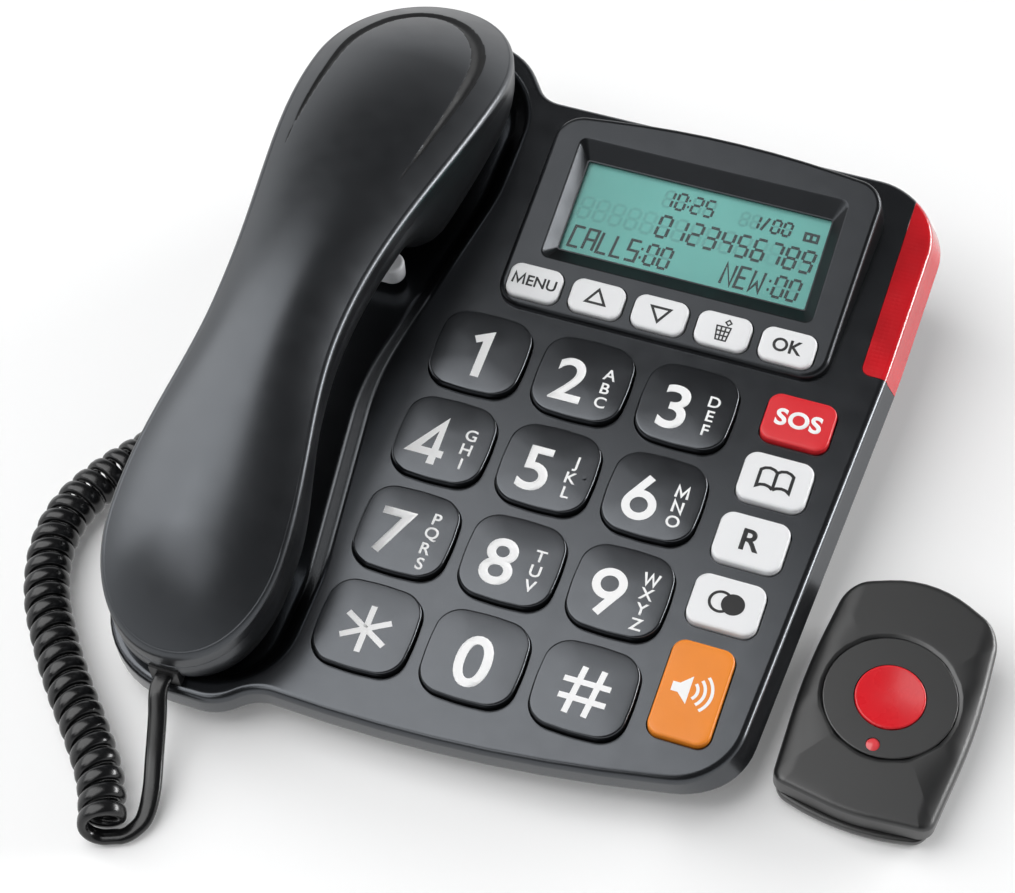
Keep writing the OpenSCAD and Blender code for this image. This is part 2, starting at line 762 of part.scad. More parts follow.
// The ear end is cut away underneath, where it leaves the well
function under(v) =
  ((1 - cup(v)) * grip_d + cup(v) * (seam(v) - rest_w))
    * (v < arch_v ? round_off((tip_v + 15 - v) / 15, 2.4) : round_off((v - end_v + 26) / 26, 1.5));
function bend(x, n) = sign(x) * pow(abs(x), n);
stations = 28;
segments = 14;
function station_v(i, t) = mid_v - (handset_len / 2 - t) * cos(180 * i / stations);
function back_row(v, hw, h) =
  [for (j = [0 : segments])
    let(k = min(j, segments - j), f = max(0, k - 3) / (segments / 2 - 3))
    let(x = k < 3 ? hw - shoulder_r * (1 - cos(30 * k)) : (hw - shoulder_r) * (1 - f))
    let(y = k == 0 ? 0 : k < 3 ? h - shoulder_r * (1 - sin(30 * k)) : h + dome_h(v) * f * (2 - f))
    [axis_u + sign(segments / 2 - j) * x, v, seam(v) + y]];
function front_row(v, hw, h) =
  [for (j = [0 : segments])
    let(a = 180 * j / segments)
    [axis_u + hw * bend(cos(a), 0.7), v, seam(v) - h * pow(max(0, sin(a)), 0.7)]];
function row(i, t, up) =
  let(v = station_v(i, t), hw = half_w(v) - t)
  up ? back_row(v, hw, shoulder_h - t) : front_row(v, hw, under(v) - t * tip_off(v, 20, 2));

module half_shell(up) {
  n = stations + 1;
  m = segments + 1;
  points = concat(
    [for (i = [0 : stations]) each row(i, 0, up)],
    [for (i = [0 : stations]) each row(i, shell_t, up)]);
  k = n * m;
  quads = concat(
    [for (i = [0 : n - 2], j = [0 : m - 2])
      let(a = i * m + j, b = a + m)
      each [[a, b, b + 1, a + 1], [k + a, k + a + 1, k + b + 1, k + b]]],
    [for (i = [0 : n - 2])
      let(a = i * m, b = a + m, c = a + m - 1, d = c + m)
      each [[a, k + a, k + b, b], [c, d, k + d, k + c]]],
    [[0, m - 1, k + m - 1, k],
     [k - m, 2 * k - m, 2 * k - 1, k - 1],
     [for (j = [0 : m - 1]) j],
     [for (j = [m - 1 : -1 : 0]) k - m + j],
     [for (j = [m - 1 : -1 : 0]) k + j],
     [for (j = [0 : m - 1]) 2 * k - m + j]]);
  flip = function (f) [for (q = [len(f) - 1 : -1 : 0]) f[q]];
  faces = [for (f = quads) each [for (q = [1 : len(f) - 2]) [f[0], f[q], f[q + 1]]]];
  polyhedron(points, up ? faces : [for (f = faces) flip(f)]);
}

module handset_back()
  color("#2f3033") on_deck() half_shell(true);

module handset_front()
  color("#2a2b2e") on_deck() difference() {
    half_shell(false);
    translate([axis_u - 4.2, tip_v - 5, 0]) cube([8.4, 20, 6.6]);
  }

module receiver_capsule()
  color("#4a4b4e") on_deck() translate([axis_u, ear_at - 5, 0.6]) {
    translate([0, 0, rest_w + shell_t - 0.3]) cylinder(h = 3, r = 5);
    cylinder(h = 5, r = 15);
    translate([0, 0, 5]) cylinder(h = 3, r = 9);
  }

module mic_capsule()
  color("#8c8f93") on_deck() translate([axis_u, mouth_at + 1, rest_w + shell_t + 0.3]) cylinder(h = 5, r = 5);

module handset_weight()
  color("#7a7c80") on_deck()
    translate([axis_u - 6, arch_v - 18, arch_top - grip_d + shell_t + 0.3]) cube([12, 36, 6]);

module handset_socket()
  color("#1c1c1e") on_deck() difference() {
    translate([axis_u - 6, tip_v + 10.5, -1.6]) cube([12, 12, 9.4]);
    translate([axis_u - 4, tip_v, 0.1]) cube([8, 19, 6.4]);
  }

module handset_plug()
  color("#101011") on_deck() translate([axis_u - 3.9, tip_v - 0.5, 0.2]) cube([7.8, 14, 6.2]);

// Cord
function spline(P, t) =
  let(i = min(len(P) - 2, floor(t)), x = t - i)
  let(a = P[max(0, i - 1)], b = P[i], c = P[i + 1], d = P[min(len(P) - 1, i + 2)])
  0.5 * (2 * b + x * (c - a) + x * x * (2 * a - 5 * b + 4 * c - d) + x * x * x * (3 * b - a - 3 * c + d));
fine = 240;
coil_pts = [for (k = [0 : fine]) spline(coil_path, k * (len(coil_path) - 1) / fine)];
coil_step = function (k) k < fine ? norm(coil_pts[k + 1] - coil_pts[k]) : 0;
coil_len = [for (k = 0, s = 0; k <= fine; s = s + coil_step(k), k = k + 1) s];
coil_table = [for (k = [0 : fine]) [coil_len[k], k * (len(coil_path) - 1) / fine]];
coil_total = coil_len[fine];
// The curls start after a straight tail and end at the bottom of the last curl
coil_tail = 17;
coil_leave = 7.6;
coil_run = coil_total - coil_tail - 1;
curl_pitch = coil_run / curls;
coil_r = (coil_d - cord_t) / 2;
per_curl = 8;
rings = curls * per_curl;
function coil_axis(s) = spline(coil_path, lookup(s, coil_table));
function coil_dir(s) = unit(coil_axis(s + 0.5) - coil_axis(s - 0.5));
function coil_side(s) = unit(cross(coil_dir(s), [0, 0, 1]));
function coil_s(k) = coil_tail + coil_run * k / rings;
function coil_out(k) =
  let(a = -90 - 360 * (k - rings) / per_curl, e = coil_side(coil_s(k)))
  cos(a) * e + sin(a) * cross(e, coil_dir(coil_s(k)));
function coil_at(k) = coil_axis(coil_s(k)) + coil_r * smooth(k / per_curl) * coil_out(k);
coil_mid = [for (k = [0 : rings]) coil_at(k)];
coil_go = -coil_side(coil_s(rings));
coil_stop = coil_mid[rings] + coil_go * coil_leave;
coil_gap = min([
  for (i = [per_curl : rings - per_curl + 1], j = [i + per_curl - 1 : min(rings, i + per_curl + 1)])
    norm(coil_mid[i] - coil_mid[j])]) - cord_w;
echo(coil_gap = coil_gap, curl_pitch = curl_pitch, coil_total = coil_total, coil_stop = coil_stop);

// A flat ring of points round c, w wide across and t thick along out
function tube_ring(c, along, out, w, t, n) =
  let(o = unit(out - along * (out * along)), b = cross(along, o))
  [for (j = [0 : n - 1]) c + (w / 2) * cos(360 * j / n) * b + (t / 2) * sin(360 * j / n) * o];
function coil_ring(c, along, out) = tube_ring(c, along, out, cord_w, cord_t, 6);

module cord_curly()
  color("#151517") on_desk() {
    out0 = coil_out(0);
    skin(concat(
      [for (s = [0, cord_w]) coil_ring(jack_end + s * [-1, 0, 0], [-1, 0, 0], out0)],
      [for (s = [7 : 3 : coil_tail - 2]) coil_ring(coil_axis(s), coil_dir(s), out0)],
      [for (k = [1 : rings - 1])
        coil_ring(coil_mid[k], unit(coil_mid[k + 1] - coil_mid[k - 1]), coil_out(k))],
      [for (s = [0, cord_w, coil_leave])
        coil_ring(coil_mid[rings] + s * coil_go, coil_go, coil_out(rings))]));
  }

lead_path = [
  coil_stop,
  [-63, -102.5, 2.2],
  [-64.4, -94.5, 4.8],
  [-67, -87, 8],
  [-69, -79.5, 12.4],
  plug_face + 4 * plug_run + [0, 0, -0.3],
  plug_face];
lead_n = 35;
lead_pts = [for (k = [0 : lead_n]) spline(lead_path, k * (len(lead_path) - 1) / lead_n)];
function lead_dir(k) =
  k == 0 ? coil_go : k == lead_n ? -plug_run : unit(lead_pts[k + 1] - lead_pts[k - 1]);

module cord_lead()
  color("#151517") on_desk()
    skin([
      for (k = [0 : lead_n])
        tube_ring(lead_pts[k], lead_dir(k), [0, 0, 1], lead_w, cord_t, 8)]);

// Pendant
pend_near_w = pend_w - 4.5;
pend_far_w = pend_w - 4.8;
pend_line = [
  [-pend_near_w / 2, 3, 4],
  [0, 0.4, 46],
  [pend_near_w / 2, 3, 4],
  [pend_w / 2, pend_l / 2, 150],
  [pend_far_w / 2, pend_l - 8, 10],
  [0, pend_l + 0.8, 26],
  [-pend_far_w / 2, pend_l - 8, 10],
  [-pend_w / 2, pend_l / 2, 150]];

module on_pendant()
  translate([pend_at[0], pend_at[1], pend_near])
    rotate([0, 0, pend_turn]) rotate([pend_tilt, 0, 0]) children();

module pendant_top()
  color("#2c2d30") on_pendant() difference() {
    skin([
      ring3(pend_line, -pend_t),
      ring3(pend_line, -2.4),
      ring3(inset(pend_line, 0.8), -1),
      ring3(inset(pend_line, 2.4), 0)]);
    slab(inset(pend_line, pend_wall), -pend_t - 1, -pend_top);
    translate([0, pend_ring, -face_t]) cylinder(h = 5, r = ring_d / 2 + 0.15);
    translate([0, pend_ring, -20]) cylinder(h = 30, r = button_d / 2 + 0.6);
    translate([0, pend_ring - lamp_off, -20]) cylinder(h = 30, r = lamp_r + 0.3);
  }

module pendant_bottom()
  color("#242528") difference() {
    intersection() {
      on_pendant() slab(inset(pend_line, 0.6), -60, -pend_t);
      translate([pend_at[0] - 60, pend_at[1] - 60, 0]) cube([120, 200, 60]);
    }
    intersection() {
      on_pendant() slab(inset(pend_line, 0.6 + pend_wall), -60, 1 - pend_t);
      translate([pend_at[0] - 60, pend_at[1] - 60, pend_wall]) cube([120, 200, 60]);
    }
  }

module pendant_face()
  color("#26272a") on_pendant() translate([0, pend_ring, -face_t]) difference() {
    cylinder(h = face_t, r = ring_d / 2);
    translate([0, 0, -1]) cylinder(h = 5, r = button_d / 2 + 0.3);
    translate([0, -lamp_off, -1]) cylinder(h = 5, r = lamp_r + 0.05);
  }

module pendant_button()
  color("#e02026") on_pendant() translate([0, pend_ring, -pend_top - 1]) {
    cylinder(h = pend_top + button_travel + 0.7, r = button_d / 2);
    cylinder(h = 1, r = button_d / 2 + 1.6);
  }

module pendant_lamp()
  color("#e0383c") on_pendant() translate([0, pend_ring - lamp_off, 1.2 - pend_t])
    cylinder(h = pend_t - 1.2, r = lamp_r);

module pendant_board()
  color("#1f5a35") on_pendant() slab(inset(pend_line, pend_wall + 0.1), -pend_t, 1.2 - pend_t);

module pendant_battery()
  color("#b9bcc0") on_pendant() translate([0, pend_l - 24, -pend_t - 3.2]) cylinder(h = 3.2, r = 10);

top_cover();
bottom_cover();
display_bezel();
display_window();
lcd_panel();
display_board();
menu_mat();
alert_lens();
alert_board();
main_board();
key_mat();
loudspeaker();
hook_switch();
hook_lever();
line_jack();
handset_jack();
rubber_feet();
case_screws();
battery_door();
battery_cells();
key_1();
key_2();
key_3();
key_4();
key_5();
key_6();
key_7();
key_8();
key_9();
key_star();
key_0();
key_hash();
key_menu();
key_up();
key_down();
key_delete();
key_ok();
key_sos();
key_phonebook();
key_recall();
key_redial();
key_speaker();
handset_back();
handset_front();
receiver_capsule();
mic_capsule();
handset_weight();
handset_socket();
handset_plug();
cord_lead();
cord_curly();
base_plug();
pendant_top();
pendant_bottom();
pendant_face();
pendant_button();
pendant_lamp();
pendant_board();
pendant_battery();
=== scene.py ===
# %% [markdown]
# # A corded desk telephone with an SOS key and a pendant
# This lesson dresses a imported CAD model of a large-key telephone: satin black housing, a handset on
# a curly cord, a display, and a small radio pendant with a red button beside it. The CAD model is
# the fixed frame. It is loaded first and never moved, and every new piece is made in the same place.

# %% Load the frame
import math

import bmesh
import bpy
from mathutils import Matrix, Vector


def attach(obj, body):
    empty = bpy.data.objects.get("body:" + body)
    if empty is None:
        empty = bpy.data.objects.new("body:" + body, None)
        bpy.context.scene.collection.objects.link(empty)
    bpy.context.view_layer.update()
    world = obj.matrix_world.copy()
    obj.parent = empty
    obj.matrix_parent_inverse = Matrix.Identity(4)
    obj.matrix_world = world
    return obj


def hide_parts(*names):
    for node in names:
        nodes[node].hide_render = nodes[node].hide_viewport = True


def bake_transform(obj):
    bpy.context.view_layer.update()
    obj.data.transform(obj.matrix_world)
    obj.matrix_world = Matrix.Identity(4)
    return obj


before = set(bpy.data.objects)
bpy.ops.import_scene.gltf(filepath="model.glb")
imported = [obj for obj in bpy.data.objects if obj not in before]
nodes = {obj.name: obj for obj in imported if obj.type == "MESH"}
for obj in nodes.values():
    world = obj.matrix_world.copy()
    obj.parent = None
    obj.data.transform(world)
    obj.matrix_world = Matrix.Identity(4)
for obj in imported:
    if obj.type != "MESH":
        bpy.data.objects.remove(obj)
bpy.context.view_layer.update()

# %% [markdown]
# ## Four working planes
# The deck slopes by 8 degrees and the display housing lies 9.6 degrees steeper on it, so it is easiest
# to draw each piece flat, in millimetres, on the plane it belongs to. A matrix then carries the finished
# mesh into the shared frame in metres. `DECK` is the key deck, `BEZEL` the display housing, `DESK` the
# table top and `FOB` the face of the pendant.

# %% Working planes
def shift(x, y, z=0.0):
    return Matrix.Translation((x, y, z))


def turn_by(degrees, axis):
    return Matrix.Rotation(math.radians(degrees), 4, axis)


MM = Matrix.Scale(0.001, 4)
GRID = Vector((-11.8, -37.8, 0.0))
DECK_RISE, DECK_TILT, BEZEL_TILT = 23.2, 8, 9.6
DESK = MM @ shift(*GRID)
DECK = DESK @ shift(0, 0, DECK_RISE) @ turn_by(DECK_TILT, "X")
BEZEL = DECK @ shift(0, 61.3, 1.8) @ turn_by(BEZEL_TILT, "X")
FOB = DESK @ shift(96.9, -49.3, 10) @ turn_by(-3.6, "Z") @ turn_by(7.5, "X")
print("deck origin in metres:", [round(c, 4) for c in DECK.translation])

# %% [markdown]
# ## The camera
# The photograph looks down from the right front. Its place was solved from the twelve number keys, which
# form an exact grid. A long lens keeps the far edge of the telephone nearly as wide as the near one.

# %% Camera
PHOTO_W, FOCAL_PX = 1015, 2600
LOOK_DOWN, LOOK_LEFT = 50.81147, 19.18876
cam_data = bpy.data.cameras.new("photo_camera")
cam_data.sensor_width = 36
cam_data.lens = cam_data.sensor_width * FOCAL_PX / PHOTO_W
cam_data.clip_end = 20
camera = bpy.data.objects.new("photo_camera", cam_data)
bpy.context.scene.collection.objects.link(camera)
camera.location = MM @ (GRID + Vector((127.12, -382.82, DECK_RISE + 524.86)))
camera.rotation_euler = (math.radians(90 - LOOK_DOWN), 0, math.radians(LOOK_LEFT))
bpy.context.scene.camera = camera
bpy.context.scene.view_settings.view_transform = "Standard"
print("camera at", [round(c, 4) for c in camera.location])

# %% [markdown]
# ## Floor, backdrop and light
# A product photograph on white is lit by one very large soft box, and the white room round it shows in
# every edge. The floor is a pale sheet. Part of what the camera sees of it is plain white and the rest is
# its lit colour, so it looks white and still keeps the shadow. Reflections see it whiter still. The soft box
# leans over the left side. Its rear edge is what makes the sheen of the deck fade towards the display, and
# a weak second box in front of it carries the sheen of the handset on to its mouth end. The world is white
# near the horizon and dark above it, and a low strip at the right rear draws the bright line along the handset.

# %% Floor
def deselect():
    if bpy.context.object and bpy.context.object.mode != "OBJECT":
        bpy.ops.object.mode_set(mode="OBJECT")
    bpy.ops.object.select_all(action="DESELECT")


def activate(obj):
    deselect()
    bpy.context.view_layer.objects.active = obj
    obj.select_set(True)


def nodes_of(name):
    mat = bpy.data.materials.new(name)
    mat.use_nodes = True
    tree = mat.node_tree
    return mat, tree, tree.nodes["Principled BSDF"]


def set_inputs(node, **values):
    """Sets sockets of a node by name, with _ for each space."""
    for name, value in values.items():
        node.inputs[name.replace("_", " ")].default_value = value


def white_to_eye(tree, lit, target, eye, mirror):
    """Mixes plain white into what the camera (eye) and reflections and clear pieces (mirror) see."""
    ray = tree.nodes.new("ShaderNodeLightPath")
    glow = tree.nodes.new("ShaderNodeEmission")
    mix = tree.nodes.new("ShaderNodeMixShader")
    last = None
    for name, share in (("Is Camera Ray", eye), ("Is Glossy Ray", mirror), ("Is Transmission Ray", mirror)):
        part = tree.nodes.new("ShaderNodeMath")
        part.operation, part.use_clamp = "MULTIPLY_ADD", True
        part.inputs[1].default_value, part.inputs[2].default_value = share, 0.0
        tree.links.new(ray.outputs[name], part.inputs[0])
        if last:
            tree.links.new(last, part.inputs[2])
        last = part.outputs[0]
    tree.links.new(last, mix.inputs["Fac"])
    tree.links.new(lit, mix.inputs[1])
    tree.links.new(glow.outputs[0], mix.inputs[2])
    tree.links.new(mix.outputs[0], target)


deselect()
bpy.ops.mesh.primitive_plane_add(size=6, location=(0, 0, -0.0002))
floor = bpy.context.object
floor.name = "studio_floor"
paper, tree, shader = nodes_of("studio_paper")
set_inputs(shader, Base_Color=(0.95, 0.95, 0.95, 1), Roughness=0.9, Specular_IOR_Level=0.1)
white_to_eye(tree, shader.outputs[0], tree.nodes["Material Output"].inputs["Surface"], eye=0.12, mirror=0.55)
floor.data.materials.append(paper)
print("floor", floor.dimensions[:])

# %% World and lamps
world = bpy.data.worlds.new("studio")
bpy.context.scene.world = world
world.use_nodes = True
tree = world.node_tree
coord = tree.nodes.new("ShaderNodeTexCoord")
split = tree.nodes.new("ShaderNodeSeparateXYZ")
room = tree.nodes.new("ShaderNodeValToRGB")
stops = room.color_ramp.elements
for stop, (height, glow) in zip([stops[0], stops.new(0.3), stops.new(0.47), stops[-1]],
                                ((0.15, 1.0), (0.3, 0.6), (0.47, 0.07), (1.0, 0.07))):
    stop.position = height
    stop.color = (0.97 * glow, 0.985 * glow, glow, 1)
tree.links.new(coord.outputs["Generated"], split.inputs[0])
tree.links.new(split.outputs["Z"], room.inputs["Fac"])
tree.links.new(room.outputs["Color"], tree.nodes["Background"].inputs["Color"])
tree.nodes["Background"].inputs["Strength"].default_value = 1.0


def lamp(name, place, target, size, power):
    data = bpy.data.lights.new(name, "AREA")
    data.shape = "RECTANGLE"
    data.size, data.size_y = size
    data.energy = power
    obj = bpy.data.objects.new(name, data)
    bpy.context.scene.collection.objects.link(obj)
    obj.location = place
    obj.rotation_euler = (Vector(target) - Vector(place)).to_track_quat("-Z", "Y").to_euler()
    print("lamp", name, power, "W")


lamp("soft_box", (-0.63, -0.09, 0.89), (0, -0.09, 0.03), (1.02, 1.5), 13.8)
lamp("front_fill", (-0.42, -0.85, 1.0), (-0.05, -0.1, 0.04), (0.9, 0.55), 3.0)
lamp("rear_strip", (1.25, 1.0, 0.42), (0, 0.05, 0.04), (1.3, 0.36), 24)

# %% [markdown]
# ## The curly cord
# A handset cord is a flat cable wound into a tight spring. The curls nearly touch, the last one stands
# open at the front, and the cable leaves it along the desk and rises to the handset. A curve with a round
# bevel can't keep the flat side outwards, so the strand is a mesh: a flat ring of points carried along a
# helix round a smooth middle line. The points of the line are the ones of the CAD cord.

# %% Middle lines
JACK_END = Vector((-92.5, 18.713, 12.197))
COIL_LINE = [JACK_END] + [Vector(p) for p in (
    (-96.5, 16.6, 12.1), (-102, 11.5, 8.6), (-107, 2.7, 6.2), (-112.6, -6.4, 6.2), (-116.9, -15.1, 6.2),
    (-119.2, -22.8, 6.2), (-119.6, -31.5, 6.2), (-117.6, -41.5, 6.2), (-112.5, -53, 6.2), (-104.5, -64.5, 6.2),
    (-96, -75, 6.2), (-87, -85, 6.2), (-79, -94.6, 6.2), (-74.4, -102.2, 6.2), (-71, -110, 6.2))]
CURLS, COIL_D, COIL_TAIL, COIL_LEAVE = 28, 12.0, 17.0, 3.2
CORD_W, CORD_T = 4.0, 2.6
PLUG_FACE = Vector((-71, -70.272, 16.656))
FINE = 2000


def through(points, t):
    """A smooth curve through points, at parameter t."""
    i = min(len(points) - 2, int(t))
    x = t - i
    a, b = points[max(0, i - 1)], points[i]
    c, d = points[i + 1], points[min(len(points) - 1, i + 2)]
    return 0.5 * (2 * b + x * (c - a) + x * x * (2 * a - 5 * b + 4 * c - d) + x ** 3 * (3 * b - a - 3 * c + d))


def even(points, step):
    """Points a fixed step apart along the curve through points."""
    fine = [through(points, k * (len(points) - 1) / FINE) for k in range(FINE + 1)]
    run = [0.0]
    for p, q in zip(fine, fine[1:]):
        run.append(run[-1] + (q - p).length)
    count = max(2, round(run[-1] / step))
    marks, out, k = [run[-1] * j / count for j in range(count + 1)], [], 0
    for s in marks:
        while k < FINE - 1 and run[k + 1] < s:
            k += 1
        f = (s - run[k]) / max(1e-9, run[k + 1] - run[k])
        out.append(fine[k].lerp(fine[k + 1], min(1, f)))
    return out, run[-1]


def ease(t):
    t = min(1, max(0, t))
    return t * t * (3 - 2 * t)


coil_axis, coil_total = even(COIL_LINE, 0.25)
print("coil middle line", round(coil_total, 2), "mm")

# %% Strand of the curls
def along(s):
    k = min(len(coil_axis) - 2, max(0, s / coil_total * (len(coil_axis) - 1)))
    i = int(k)
    return coil_axis[i].lerp(coil_axis[i + 1], k - i)


def heading(s):
    return (along(s + 0.5) - along(s - 0.5)).normalized()


UP = Vector((0, 0, 1))
PER_CURL = 36
strand, outward = [], []
coil_run = coil_total - COIL_TAIL - 1
for k in range(CURLS * PER_CURL + 1):
    s = COIL_TAIL + coil_run * k / (CURLS * PER_CURL)
    turn = -math.pi / 2 - 2 * math.pi * (k / PER_CURL - CURLS)
    side = heading(s).cross(UP).normalized()
    out_dir = math.cos(turn) * side + math.sin(turn) * side.cross(heading(s))
    swell = (COIL_D - CORD_T) / 2 * ease(k / PER_CURL)
    strand.append(along(s) + swell * out_dir)
    outward.append(out_dir)
coil_go = -heading(coil_total - 1).cross(UP).normalized()
tail = [JACK_END + Vector((-1.2 * j, 0, 0)) for j in range(3)]
tail += [along(s) for s in (5, 7, 9, 11, 13, 15)]
leave = [strand[-1] + coil_go * s for s in (0.8, 1.6, 2.4, COIL_LEAVE)]
strand = tail + strand + leave
outward = [outward[0]] * len(tail) + outward + [outward[-1]] * len(leave)

# %% Mesh helpers
def edit(obj, *steps):
    """Runs edit-mode operators on the whole mesh of obj."""
    activate(obj)
    bpy.ops.object.mode_set(mode="EDIT")
    bpy.ops.mesh.select_all(action="SELECT")
    for step in steps:
        step()
    bpy.ops.object.mode_set(mode="OBJECT")
    return obj


def from_points(name, verts, faces, place):
    """A mesh from points in mm on the plane of place, with its normals turned outwards."""
    mesh = bpy.data.meshes.new(name)
    mesh.from_pydata(verts, [], faces)
    mesh.transform(place)
    mesh.update()
    obj = bpy.data.objects.new(name, mesh)
    bpy.context.scene.collection.objects.link(obj)
    return edit(obj, bpy.ops.mesh.normals_make_consistent)


print("mesh helpers ready")

# %% Mesh of a flat cord
GROW_RINGS, ROUNDING = 14, 0.8


def bent(x, n):
    return math.copysign(abs(x) ** n, x)


def flat_cord(name, line, out_dirs, width, thick, wider=0.0, sides=14):
    """A closed tube along line, width across (growing by wider) and thick along out_dirs, with round edges."""
    verts, faces = [], []
    for k, (c, o) in enumerate(zip(line, out_dirs)):
        go = (line[min(k + 1, len(line) - 1)] - line[max(k - 1, 0)]).normalized()
        o = (o - go * o.dot(go)).normalized()
        across, wide = go.cross(o), width + wider * ease(k / GROW_RINGS)
        for j in range(sides):
            a = 2 * math.pi * j / sides
            verts.append(c + across * (wide / 2 * bent(math.cos(a), ROUNDING))
                         + o * (thick / 2 * bent(math.sin(a), ROUNDING)))
    for k in range(len(line) - 1):
        for j in range(sides):
            a, b = k * sides + j, k * sides + (j + 1) % sides
            faces.append((a, b, b + sides, a + sides))
    faces.append(tuple(range(sides - 1, -1, -1)))
    faces.append(tuple(range((len(line) - 1) * sides, len(line) * sides)))
    obj = from_points(name, verts, faces, DESK)
    bpy.ops.object.shade_smooth_by_angle(angle=math.radians(50))
    print(name, len(faces), "faces")
    return obj


curly = flat_cord("curly_cord", strand, outward, CORD_W, CORD_T)
LEAD_LINE = [leave[-1] - coil_go * 0.1, leave[-1] + coil_go] + [Vector(p) for p in (
    (-65.7, -105.7, 1.7), (-64.0, -101.6, 2.5), (-64.7, -95.2, 4.7), (-67.0, -87.4, 8), (-69.2, -79.7, 12.4),
    (-71, -74.23, 15.8))] + [PLUG_FACE]
lead_pts, lead_len = even(LEAD_LINE, 1.0)
lead = flat_cord("handset_lead", lead_pts, [UP] * len(lead_pts), CORD_W, CORD_T, 0.7)
print("lead", round(lead_len, 1), "mm long")

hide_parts("cord_curly")
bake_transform(curly)
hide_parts("cord_lead")
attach(lead, "handset")

# %% [markdown]
# ## Outlines with round corners
# The housing, the keys and the pendant are all plates with round corners. An outline is a list of corners,
# each with its radius, and `rounded` turns it into points, finely enough that no facet shows. `inset` moves
# every edge inwards by the same amount, which is how a rim gets its rounding and a wall its thickness.

# %% Outline helpers
def inset(corners, d):
    out = []
    for i, (x, y, r) in enumerate(corners):
        a, b, c = Vector(corners[i - 1][:2]), Vector((x, y)), Vector(corners[(i + 1) % len(corners)][:2])
        m, k = (b - a).normalized(), (c - b).normalized()
        convex = m.x * k.y - m.y * k.x > 0
        m, k = Vector((m.y, -m.x)), Vector((k.y, -k.x))
        q = b - d * (m + k) / (1 + m.dot(k))
        out.append((q.x, q.y, max(0.2, r - d if convex else r + d)))
    return out


def rounded(corners):
    out = []
    for i, (x, y, r) in enumerate(corners):
        a, b, c = Vector(corners[i - 1][:2]), Vector((x, y)), Vector(corners[(i + 1) % len(corners)][:2])
        p, q = (a - b).normalized(), (c - b).normalized()
        half = math.acos(max(-1, min(1, p.dot(q)))) / 2
        o = b + (p + q).normalized() * r / math.sin(half)
        s = b + p * r / math.tan(half) - o
        left = (b - a).x * (c - b).y - (b - a).y * (c - b).x > 0
        sweep = (math.pi - 2 * half) * (1 if left else -1)
        n = max(4, math.ceil(abs(math.degrees(sweep)) / (2 if r > 35 else 7)))
        start = math.atan2(s.y, s.x)
        out += [o + r * Vector((math.cos(start + sweep * j / n), math.sin(start + sweep * j / n)))
                for j in range(n + 1)]
    return out


def level(corners, w):
    return [Vector((p.x, p.y, w)) for p in rounded(corners)]


def moved(corners, u, v):
    return [(x + u, y + v, r) for x, y, r in corners]


def plate_line(w, d, r, u=0.0, v=0.0):
    return moved([(-w / 2, -d / 2, r), (w / 2, -d / 2, r), (w / 2, d / 2, r), (-w / 2, d / 2, r)], u, v)


def disc_line(r, u=0.0, v=0.0):
    return plate_line(2 * r, 2 * r, 0.999 * r, u, v)


print("a rounded plate has", len(rounded(plate_line(10, 10, 2))), "points")

# %% [markdown]
# ## Building by extrusion
# Most pieces start the same way: a disc with as many points as the outline, laid on its first level, and
# then extruded level by level, the new rim being moved to the next outline each time. The result is closed,
# with a flat first and last face, and its normals are turned outwards at the end.

# %% Extrusion helpers
def extruded(name, rings, place):
    """A closed piece through rings of points (all of one length), drawn in mm on the plane of place."""
    deselect()
    bpy.ops.mesh.primitive_circle_add(vertices=len(rings[0]), radius=1, fill_type="NGON")
    obj = bpy.context.object
    obj.name = obj.data.name = name
    for v, p in zip(obj.data.vertices, rings[0]):
        v.co = p
    bpy.ops.object.mode_set(mode="EDIT")
    rim = list(range(len(rings[0])))
    for ring in rings[1:]:
        bpy.ops.mesh.extrude_region()
        bm = bmesh.from_edit_mesh(obj.data)
        bm.verts.ensure_lookup_table()
        bm.verts.index_update()
        heads = []
        for i, p in zip(rim, ring):
            v = bm.verts[i]
            head = next(e.other_vert(v) for e in v.link_edges if e.other_vert(v).select)
            head.co = p
            heads.append(head.index)
        rim = heads
    edit(obj, bpy.ops.mesh.normals_make_consistent)
    obj.data.transform(place)
    return obj


def closed_up(obj):
    """For a piece whose first and last rings fold shut: drops their faces and joins the points that meet."""
    activate(obj)
    bpy.ops.object.mode_set(mode="EDIT")
    bpy.ops.mesh.select_all(action="DESELECT")
    bpy.ops.mesh.select_mode(type="FACE")
    bm = bmesh.from_edit_mesh(obj.data)
    for face in bm.faces:
        face.select_set(len(face.verts) > 4)
    bpy.ops.mesh.delete(type="ONLY_FACE")
    bpy.ops.mesh.select_mode(type="VERT")
    return edit(obj, lambda: bpy.ops.mesh.remove_doubles(threshold=1e-6), bpy.ops.mesh.normals_make_consistent)


def slab(name, corners, low, high, place):
    return extruded(name, [level(corners, low), level(corners, high)], place)


def modified(obj, kind, **settings):
    """Adds a modifier and applies it at once."""
    activate(obj)
    mod = obj.modifiers.new("step", kind)
    for name, value in settings.items():
        setattr(mod, name, value)
    bpy.ops.object.modifier_apply(modifier=mod.name)
    return obj


def cut(obj, cutters, how="DIFFERENCE"):
    """Takes the cutters away from obj (or adds them, or keeps what is inside), and removes them."""
    for cutter in cutters:
        modified(obj, "BOOLEAN", operation=how, object=cutter, solver="EXACT")
        bpy.data.objects.remove(cutter)
    return obj


def joined(parts):
    """Several separate closed meshes as one object."""
    activate(parts[0])
    for p in parts:
        p.select_set(True)
    if len(parts) > 1:
        bpy.ops.object.join()
    return parts[0]


def trimmed(obj, point, normal):
    """Cuts obj by a plane, drops the side that normal points away from, and closes the cut."""
    return edit(obj, lambda: bpy.ops.mesh.bisect(plane_co=point, plane_no=normal, use_fill=True, clear_inner=True,
                                                 threshold=1e-7))


